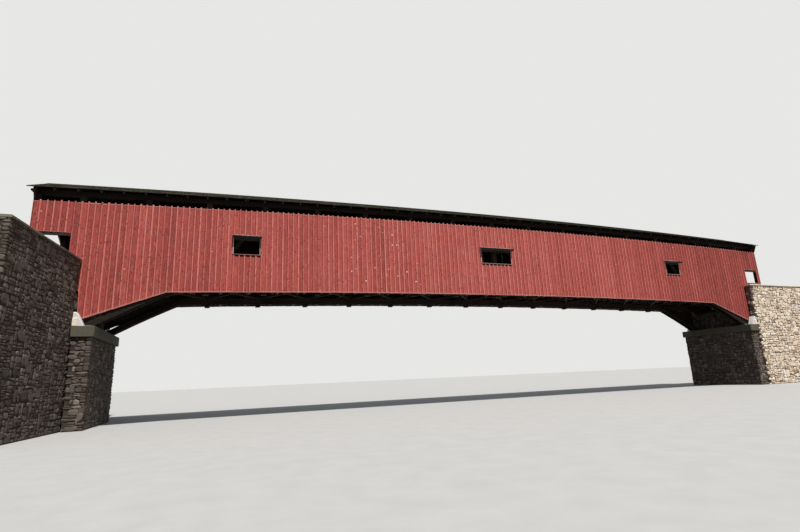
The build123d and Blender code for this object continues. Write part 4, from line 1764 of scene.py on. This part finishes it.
@dataclass
class Stonework:
    """The abutments, their ledge bases and the wing walls with their copings.

    Attributes:
        breast: distance from midspan of the abutment's face.
        step: distance of the back wall's face.
        back: distance of the back wall's far side.
        half: the abutment's half width.
        seat: top of the part that carries the bridge.
        road: top of the back wall.
        ledge: x from and to, half width and top of a ledge base.
        wing: the wing walls' thickness.
        wing_top: their top, under the coping.
        lengths: lengths of the left wings and of the right wings.
        flare: how far the left wings lean back, in degrees.
        cover: the coping's thickness.
        overhang: how far the coping stands out.
        shaded_up_to: row X up to which the right wings' stones are darker, as painted shade.
    """

    breast: float = 11.625
    step: float = 12.975
    back: float = 13.175
    half: float = 1.275
    seat: float = 3.055
    road: float = 3.525
    ledge: tuple[float, float, float, float] = (11.2, 11.625, 1.475, 2.075)
    wing: float = 0.225
    wing_top: float = 3.9
    lengths: Pair = (3.25, 3.5)
    flare: float = 6.0
    cover: float = 0.05
    overhang: float = 0.025
    shaded_up_to: float = 10.85

    def slanted(self) -> Pair:
        """The left wings' lean for each metre out, and how much wider the lean makes them in X."""
        return math.tan(math.radians(self.flare)), 1 / math.cos(math.radians(self.flare))

    def rectangle(self, bank: Bank, near: float, far: float, y0: float, y1: float) -> list[Pair]:
        """A plan between two distances from midspan, counterclockwise from its lowest corner."""
        a, b = sorted((bank.value * near + CAMBER.middle, bank.value * far + CAMBER.middle))
        return [(a, y0), (b, y0), (b, y1), (a, y1)]

    def left_wing_plan(self) -> list[Pair]:
        """The back left wing's plan: a strip that leans back by the flare as it goes out."""
        lean, wider = self.slanted()
        across = self.wing * wider
        x0, y0, y1 = -self.breast + CAMBER.middle, self.half, self.half + self.lengths[0]
        out = x0 - lean * self.lengths[0]
        return [(x0 - across, y0), (x0, y0), (out, y1), (out - across, y1)]

    def add(self, node: str, dark: bool, *masses: Masonry) -> None:
        """Make the stones and the core of a CAD node.

        Args:
            node: the CAD node's name.
            dark: whether its stone is the shaded kind.
            masses: its masses.
        """
        stone = Finish.DARK_STONE if dark else Finish.STONE
        mortar = Finish.DARK_MORTAR if dark else Finish.MORTAR
        skins = [skin for mass in masses for skin in mass.skins()]
        add_piece(f"{node}_stones", skins, (stone, Finish.DARK_STONE), node)
        add_piece(f"{node}_core", [mass.core() for mass in masses], [mortar])

    def slabs(self, rng: np.random.Generator, length: float, width: float) -> Rings:
        """Coping slabs in their own flat frame.

        Args:
            rng: the source of chance.
            length: how far they run along Y, from 0.
            width: how far they run along X, from 0.

        Returns:
            A bevelled bar for each slab.
        """
        edge = np.cumsum(rng.uniform(0.42, 0.75, 12))
        edge = np.concatenate([[0.0], edge[edge < length - 0.3], [length]])
        count = len(edge) - 1
        sides = stacked(
            rng.uniform(0.0, 0.006, count),
            width - rng.uniform(0.0, 0.006, count),
            *gapped(edge, 0.002),
            self.wing_top,
            self.wing_top + self.cover - rng.uniform(0, 0.003, count),
        )
        return Rings(bars(sides, 1, 0.008), rng.random(count))

    def copings(self) -> None:
        """Slabs on every wing: laid out flat, then sheared or turned into place."""
        rng = np.random.default_rng(31)
        lean, wider = self.slanted()
        left = self.slabs(rng, self.lengths[0], (self.wing + 2 * self.overhang) * wider)
        right = self.slabs(rng, self.lengths[1], self.wing + self.overhang)
        x, y, z = np.moveaxis(left.points, -1, 0)
        x0 = -self.breast + CAMBER.middle - (self.wing + self.overhang) * wider
        left.points = np.stack([x0 + x - lean * y, self.half + y, z], -1)
        x, y, z = np.moveaxis(right.points, -1, 0)
        right.points = np.stack([self.breast + CAMBER.middle + y, self.half + x, z], -1)
        kits = (left, Finish.OLD_COPING), (right, Finish.COPING)
        for bank, (slabs, finish) in zip(Bank, kits):
            name = f"{bank.label}_coping"
            rings = Rings(mirrored(slabs.points), np.tile(slabs.tone, 2))
            add_piece(f"{name}_slabs", [rings], [finish], name)

    def build(self) -> None:
        """Make every mass of masonry."""
        near, far, half, top = self.ledge
        for bank, shore, hidden in (
            (Bank.LEFT, (1.6, 1.0, 1.6, 1.6), (1.0, 1.0, 1.0, 0.0)),
            (Bank.RIGHT, (0.0, 1.6, 0.0, 1.0), (1.0, 0.0, 1.0, 1.0)),
        ):
            seed, name = bank.value, bank.label
            plan = self.rectangle(bank, self.breast, self.back, -self.half, self.half)
            lower = Masonry(plan, 0.0, self.seat, 200 + seed, shore)
            plan = self.rectangle(bank, self.step, self.back, -self.half, self.half)
            upper = Masonry(plan, self.seat, self.road, 210 + seed, (1.3, 1.3, 1.3, 1.3))
            plan = self.rectangle(bank, near, far, -half, half)
            self.add(f"{name}_abutment", True, lower, upper)
            self.add(f"{name}_ledge_base", True, Masonry(plan, 0.0, top, 220 + seed, hidden))
        ends = (self.breast, self.breast + self.lengths[1], self.half, self.half + self.wing)
        plan, top = self.rectangle(Bank.RIGHT, *ends), self.wing_top
        right = Masonry(plan, 0.0, top, 240, (1.6, 1.0, 1.0, 1.0), self.shaded_up_to)
        left = Masonry(self.left_wing_plan(), 0.0, top, 250, (0.0, 1.0, 1.0, 1.6))
        for side in Side:
            for label, back, dark in (("right", right, False), ("left", left, True)):
                mass = replace(back, seed=back.seed + side.value)
                mass = mass if side is Side.BACK else mass.mirrored()
                self.add(f"{side.label}_{label}_wing", dark, mass)
        self.copings()


@dataclass
class Ironwork:
    """Hanger rods from the arches, their plates and nuts, arch bolts and the pads of the arch feet.

    Attributes:
        panel: distance between two posts.
        panels_each_side: how many panels lie between midspan and an end.
        rod_y: distance across of the rods.
        rod_reach: distance from midspan of the last rods.
        foot_x: distance from midspan of the arch's foot.
        foot_z: row Z of its foot.
        crown: row Z of the arch's middle line at midspan, less half its depth.
        depth: the arch's depth.
        arch_y: distances across of the arches' inner and outer faces.
        washer: half the width of a bolt's washer.
        footing: the footing's side view, as distances from midspan and row Z.
        stations: distances across of its rings.
        uneven: how far each ring fills it.
    """

    panel: float = 1.47
    panels_each_side: int = 8
    rod_y: float = 1.018
    rod_reach: float = 8.2
    foot_x: float = 11.45
    foot_z: float = 2.325
    crown: float = 5.35
    depth: float = 0.15
    arch_y: Pair = (0.941, 1.211)
    washer: float = 0.02
    footing: tuple[Pair, ...] = (
        (11.395, 2.326),
        (11.41, 2.365),
        (11.52, 2.590),
        (11.56, 2.655),
        (11.617, 2.655),
        (11.617, 2.326),
    )
    stations: tuple[float, ...] = (1.266, 1.285, 1.33, 1.38, 1.425, 1.460, 1.474)
    uneven: tuple[float, ...] = (0.93, 1.0, 0.985, 1.0, 0.975, 0.99, 0.92)

    def arch(self, x: Array, offset: float) -> Array:
        """A curve beside the arch: the circle through its feet and its crown, moved out.

        Args:
            x: distance from midspan.
            offset: how far out of the arch's middle line it lies.

        Returns:
            Row Z of the curve.
        """
        rise = self.crown + self.depth / 2 - self.foot_z
        radius = arc_radius(self.foot_x, rise)
        return self.foot_z + rise - radius + np.sqrt((radius + offset) ** 2 - np.square(x))

    def hangers(self) -> list[Rings]:
        """Rods at the floor beams under the arches, with a plate and a nut at both ends."""
        half = 2 * self.panels_each_side
        x = (np.arange(-half, half) + 0.5) * self.panel / 2
        under, row, y = CAMBER.z(x, 0.025), x + CAMBER.middle, self.rod_y

        def rod(x: Array, low: Array, high: Array, radius: float, sides: int = 6) -> Array:
            """Upright rods between two heights."""
            return rods(stacked(x, y, low), stacked(x, y, high), radius, sides)

        plate = stacked(row - 0.032, row + 0.032, 0.985, 1.158, under - 0.011, under - 0.0005)
        nut = rod(row, under - 0.032, under - 0.010, 0.017)
        held = np.abs(x) < self.rod_reach
        top, row, under = self.arch(x, self.depth / 2)[held], row[held], under[held]
        near, far = self.arch_y[0] + 0.003, self.arch_y[1] - 0.003
        saddle = stacked(row - 0.03, row + 0.03, near, far, top - 0.012, top + 0.012)
        sets = (
            bars(plate, 0, 0.002),
            nut,
            rod(row, under - 0.045, top + 0.045, 0.0065, 8),
            bars(saddle, 1, 0.002),
            rod(row, top + 0.010, top + 0.030, 0.017),
        )
        return [Rings(mirrored(each), np.linspace(0.0, 1.0, 2 * len(each))) for each in sets]

    def bolts(self) -> list[Rings]:
        """Square washers and bolt heads where the inner arch crosses the posts."""
        post = np.arange(-5, 6) * self.panel
        x = np.concatenate([post - 0.032, post + 0.032])
        z = self.arch(x, 0.0) + np.repeat([0.033, -0.033], len(post))
        row, face, w = x + CAMBER.middle, self.arch_y[0], self.washer
        washer = stacked(row - w, row + w, face - 0.005, face + 0.001, z - w, z + w)
        head = rods(stacked(row, face - 0.016, z), stacked(row, face - 0.004, z), 0.012, 6)
        sets = (bars(washer, 1, 0.002), head)
        return [Rings(mirrored(each), np.full(2 * len(each), 0.5)) for each in sets]

    def pads(self) -> Rings:
        """Pads that hold the arch feet on the ledges."""
        x = np.array([-self.foot_x, self.foot_x]) + CAMBER.middle
        sides = stacked(x - 0.17, x + 0.17, 0.925, 1.228, self.foot_z, self.foot_z + 0.05)
        return Rings(mirrored(bars(sides, 0, 0.008)), np.full(4, 0.6))

    def footings(self) -> Rings:
        """Pale footings that slope up from the ledges to the wing walls beside the arch feet."""
        x, z = np.array(self.footing).T
        fill = np.array(self.uneven)[:, None]
        run, rise = x[-1] + (x - x[-1]) * fill[::-1], z[-1] + (z - z[-1]) * fill
        flat = stacked(run, np.array(self.stations)[:, None], rise)[None]
        both = np.concatenate([flat, flat * [-1.0, 1.0, 1.0]]) + [CAMBER.middle, 0.0, 0.0]
        return Rings(mirrored(both), np.full(4, 0.7))

    def build(self) -> None:
        """Make the ironwork, the pads and the footings."""
        add_piece("hanger_rods", self.hangers(), [Finish.IRON])
        add_piece("arch_bolts", self.bolts(), [Finish.IRON])
        add_piece("arch_pads", [self.pads()], [Finish.CONCRETE])
        add_piece("pale_footings", [self.footings()], [Finish.BLOCK])


@dataclass
class Floor:
    """The crosswise planks of the roadway.

    Attributes:
        planks: how many there are.
        half_length: half the roadway's length.
        half_width: half its width.
        low: height of its underside.
        high: height of its top.
    """

    planks: int = 224
    half_length: float = 12.75
    half_width: float = 0.935
    low: float = 0.375
    high: float = 0.425

    def build(self) -> None:
        """Make the planks, each a bevelled bar across the bridge."""
        rng, count = np.random.default_rng(9), self.planks
        edge = np.linspace(-self.half_length, self.half_length, count + 1)
        sides = stacked(
            *gapped(edge, 0.0015),
            -self.half_width + rng.uniform(0.0, 0.012, count),
            self.half_width - rng.uniform(0.0, 0.012, count),
            self.low,
            self.high - rng.uniform(0.0, 0.004, count),
        )
        rings = Rings(CAMBER.bend(bars(sides, 1, 0.003)), rng.random(count))
        add_piece("roadway_planks", [rings], [Finish.PLANKS], "floor_planks")


@dataclass
class Studio:
    """The camera of the photo, a pale floor and soft light.

    Attributes:
        focal_px: the camera's focal length in pixels of the photo.
        photo_width: the photo's width in pixels.
        sensor: width of the sensor in millimetres.
        yaw: how far the camera is turned from the Y axis.
        pitch: how far it is tilted up.
        roll: how far it is turned on its axis.
        place: where it stands.
        sun: the direction in which the key light shines.
        reach: half the floor's width.
    """

    focal_px: float = 477.616
    photo_width: float = 800.0
    sensor: float = 36.0
    yaw: float = 0.364932
    pitch: float = 0.231555
    roll: float = -0.0442583
    place: tuple[float, float, float] = (-9.3977, -14.378, 0.82407)
    sun: tuple[float, float, float] = (-0.02, 0.475, -0.88)
    reach: float = 400.0

    def camera(self) -> None:
        """Set the camera from the fitted focal length, turn, tilt and roll."""
        cy, sy = math.cos(self.yaw), math.sin(self.yaw)
        cp, sp = math.cos(self.pitch), math.sin(self.pitch)
        cr, sr = math.cos(self.roll), math.sin(self.roll)
        ahead = Vector((sy * cp, cy * cp, sp))
        level = Vector((cy, -sy, 0.0))
        above = level.cross(ahead)
        right = level * cr + above * sr
        up = above * cr - level * sr
        lens = bpy.data.cameras.new("photo_camera")
        lens.sensor_width = self.sensor
        lens.lens = self.focal_px * self.sensor / self.photo_width
        lens.clip_end = 2000.0
        camera = linked("photo_camera", lens)
        turn = Matrix((right, up, -ahead)).transposed().to_4x4()
        camera.matrix_world = Matrix.Translation(self.place) @ turn
        bpy.context.scene.camera = camera

    def seen_directly(self, tree: bpy.types.NodeTree) -> Socket:
        """Tell what is seen from what only lights the bridge.

        Args:
            tree: the node tree that asks.

        Returns:
            1 for what the camera, a gloss or a glass shows, and 0 for light on the bridge.
        """
        path = tree.nodes.new("ShaderNodeLightPath")
        total = path.outputs["Is Camera Ray"]
        for kind in ("Is Glossy Ray", "Is Transmission Ray"):
            add = tree.nodes.new("ShaderNodeMath")
            add.use_clamp = True
            tree.links.new(total, add.inputs[0])
            tree.links.new(path.outputs[kind], add.inputs[1])
            total = add.outputs[0]
        return total

    def floor(self) -> None:
        """A wide pale floor that isn't part of the bridge."""
        n = Nodes("studio_floor")
        speck = n.noise(n.place, 3.0, 3.0)
        colour = n.ramp(speck, ((0.41, 0.41, 0.405), (0.44, 0.44, 0.435)), 0.3, 0.7)
        colour = n.mix(self.seen_directly(n.tree), 1.0, (0.15, 0.145, 0.14), colour)
        pale = n.finish(colour, 0.9, speck, 0.05, 0.002)
        mesh, reach = bpy.data.meshes.new("studio_floor"), self.reach
        corners = [(-reach, -reach, 0), (reach, -reach, 0), (reach, reach, 0), (-reach, reach, 0)]
        mesh.from_pydata(corners, [], [(0, 1, 2, 3)])
        mesh.materials.append(pale)
        ground = linked("studio_floor", mesh)
        ground.location.z = -0.001
        ground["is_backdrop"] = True

    def lights(self) -> None:
        """A soft key from the front and above, and an even pale surround."""
        sun = bpy.data.lights.new("key", "SUN")
        sun.energy = 4.6
        sun.angle = math.radians(4)
        sun.color = (1.0, 0.97, 0.92)
        key = linked("key", sun)
        key.rotation_mode = "QUATERNION"
        key.rotation_quaternion = Vector(self.sun).to_track_quat("-Z", "Y")
        world = bpy.data.worlds.new("surround")
        world.use_nodes = True
        tree = world.node_tree
        surround = tree.nodes["Background"]
        surround.inputs["Color"].default_value = (0.84, 0.90, 1.0, 1.0)
        surround.inputs["Strength"].default_value = 0.34
        seen = tree.nodes.new("ShaderNodeBackground")
        seen.inputs["Color"].default_value = (0.80, 0.80, 0.79, 1.0)
        mixer = tree.nodes.new("ShaderNodeMixShader")
        outputs = self.seen_directly(tree), surround.outputs[0], seen.outputs[0]
        for source, socket in zip(outputs, mixer.inputs):
            tree.links.new(source, socket)
        tree.links.new(mixer.outputs[0], tree.nodes["World Output"].inputs["Surface"])
        bpy.context.scene.world = world
        bpy.context.scene.view_settings.view_transform = "Standard"

    def build(self) -> None:
        """Set the camera, the floor and the light."""
        self.camera()
        self.floor()
        self.lights()
        log.info("studio is set")


def main() -> Sequence[Sequence[float]]:
    """Build every class in order.

    Returns:
        The CAD model's box, read before anything is added.
    """
    cad_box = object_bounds()
    TimberFrame().build()
    for side in Side:
        BoardWall(side).build()
        ShingleRoof(side).build()
    WindowTrim().build()
    for bank in Bank:
        Portal(bank).build()
    for group in (Stonework(), Ironwork(), Floor(), Studio()):
        group.build()
    return cad_box


def save_sizes(cad_box: Sequence[Sequence[float]], seen_box: Sequence[Sequence[float]]) -> None:
    """Turn the CAD model's box and the visual model's box into plain lists, which are not kept."""
    cad, seen = ([[float(v) for v in corner] for corner in box] for box in (cad_box, seen_box))


if __name__ == "__main__":
    logging.basicConfig(level=logging.INFO)
    box_of_cad = main()
    save_sizes(box_of_cad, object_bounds())
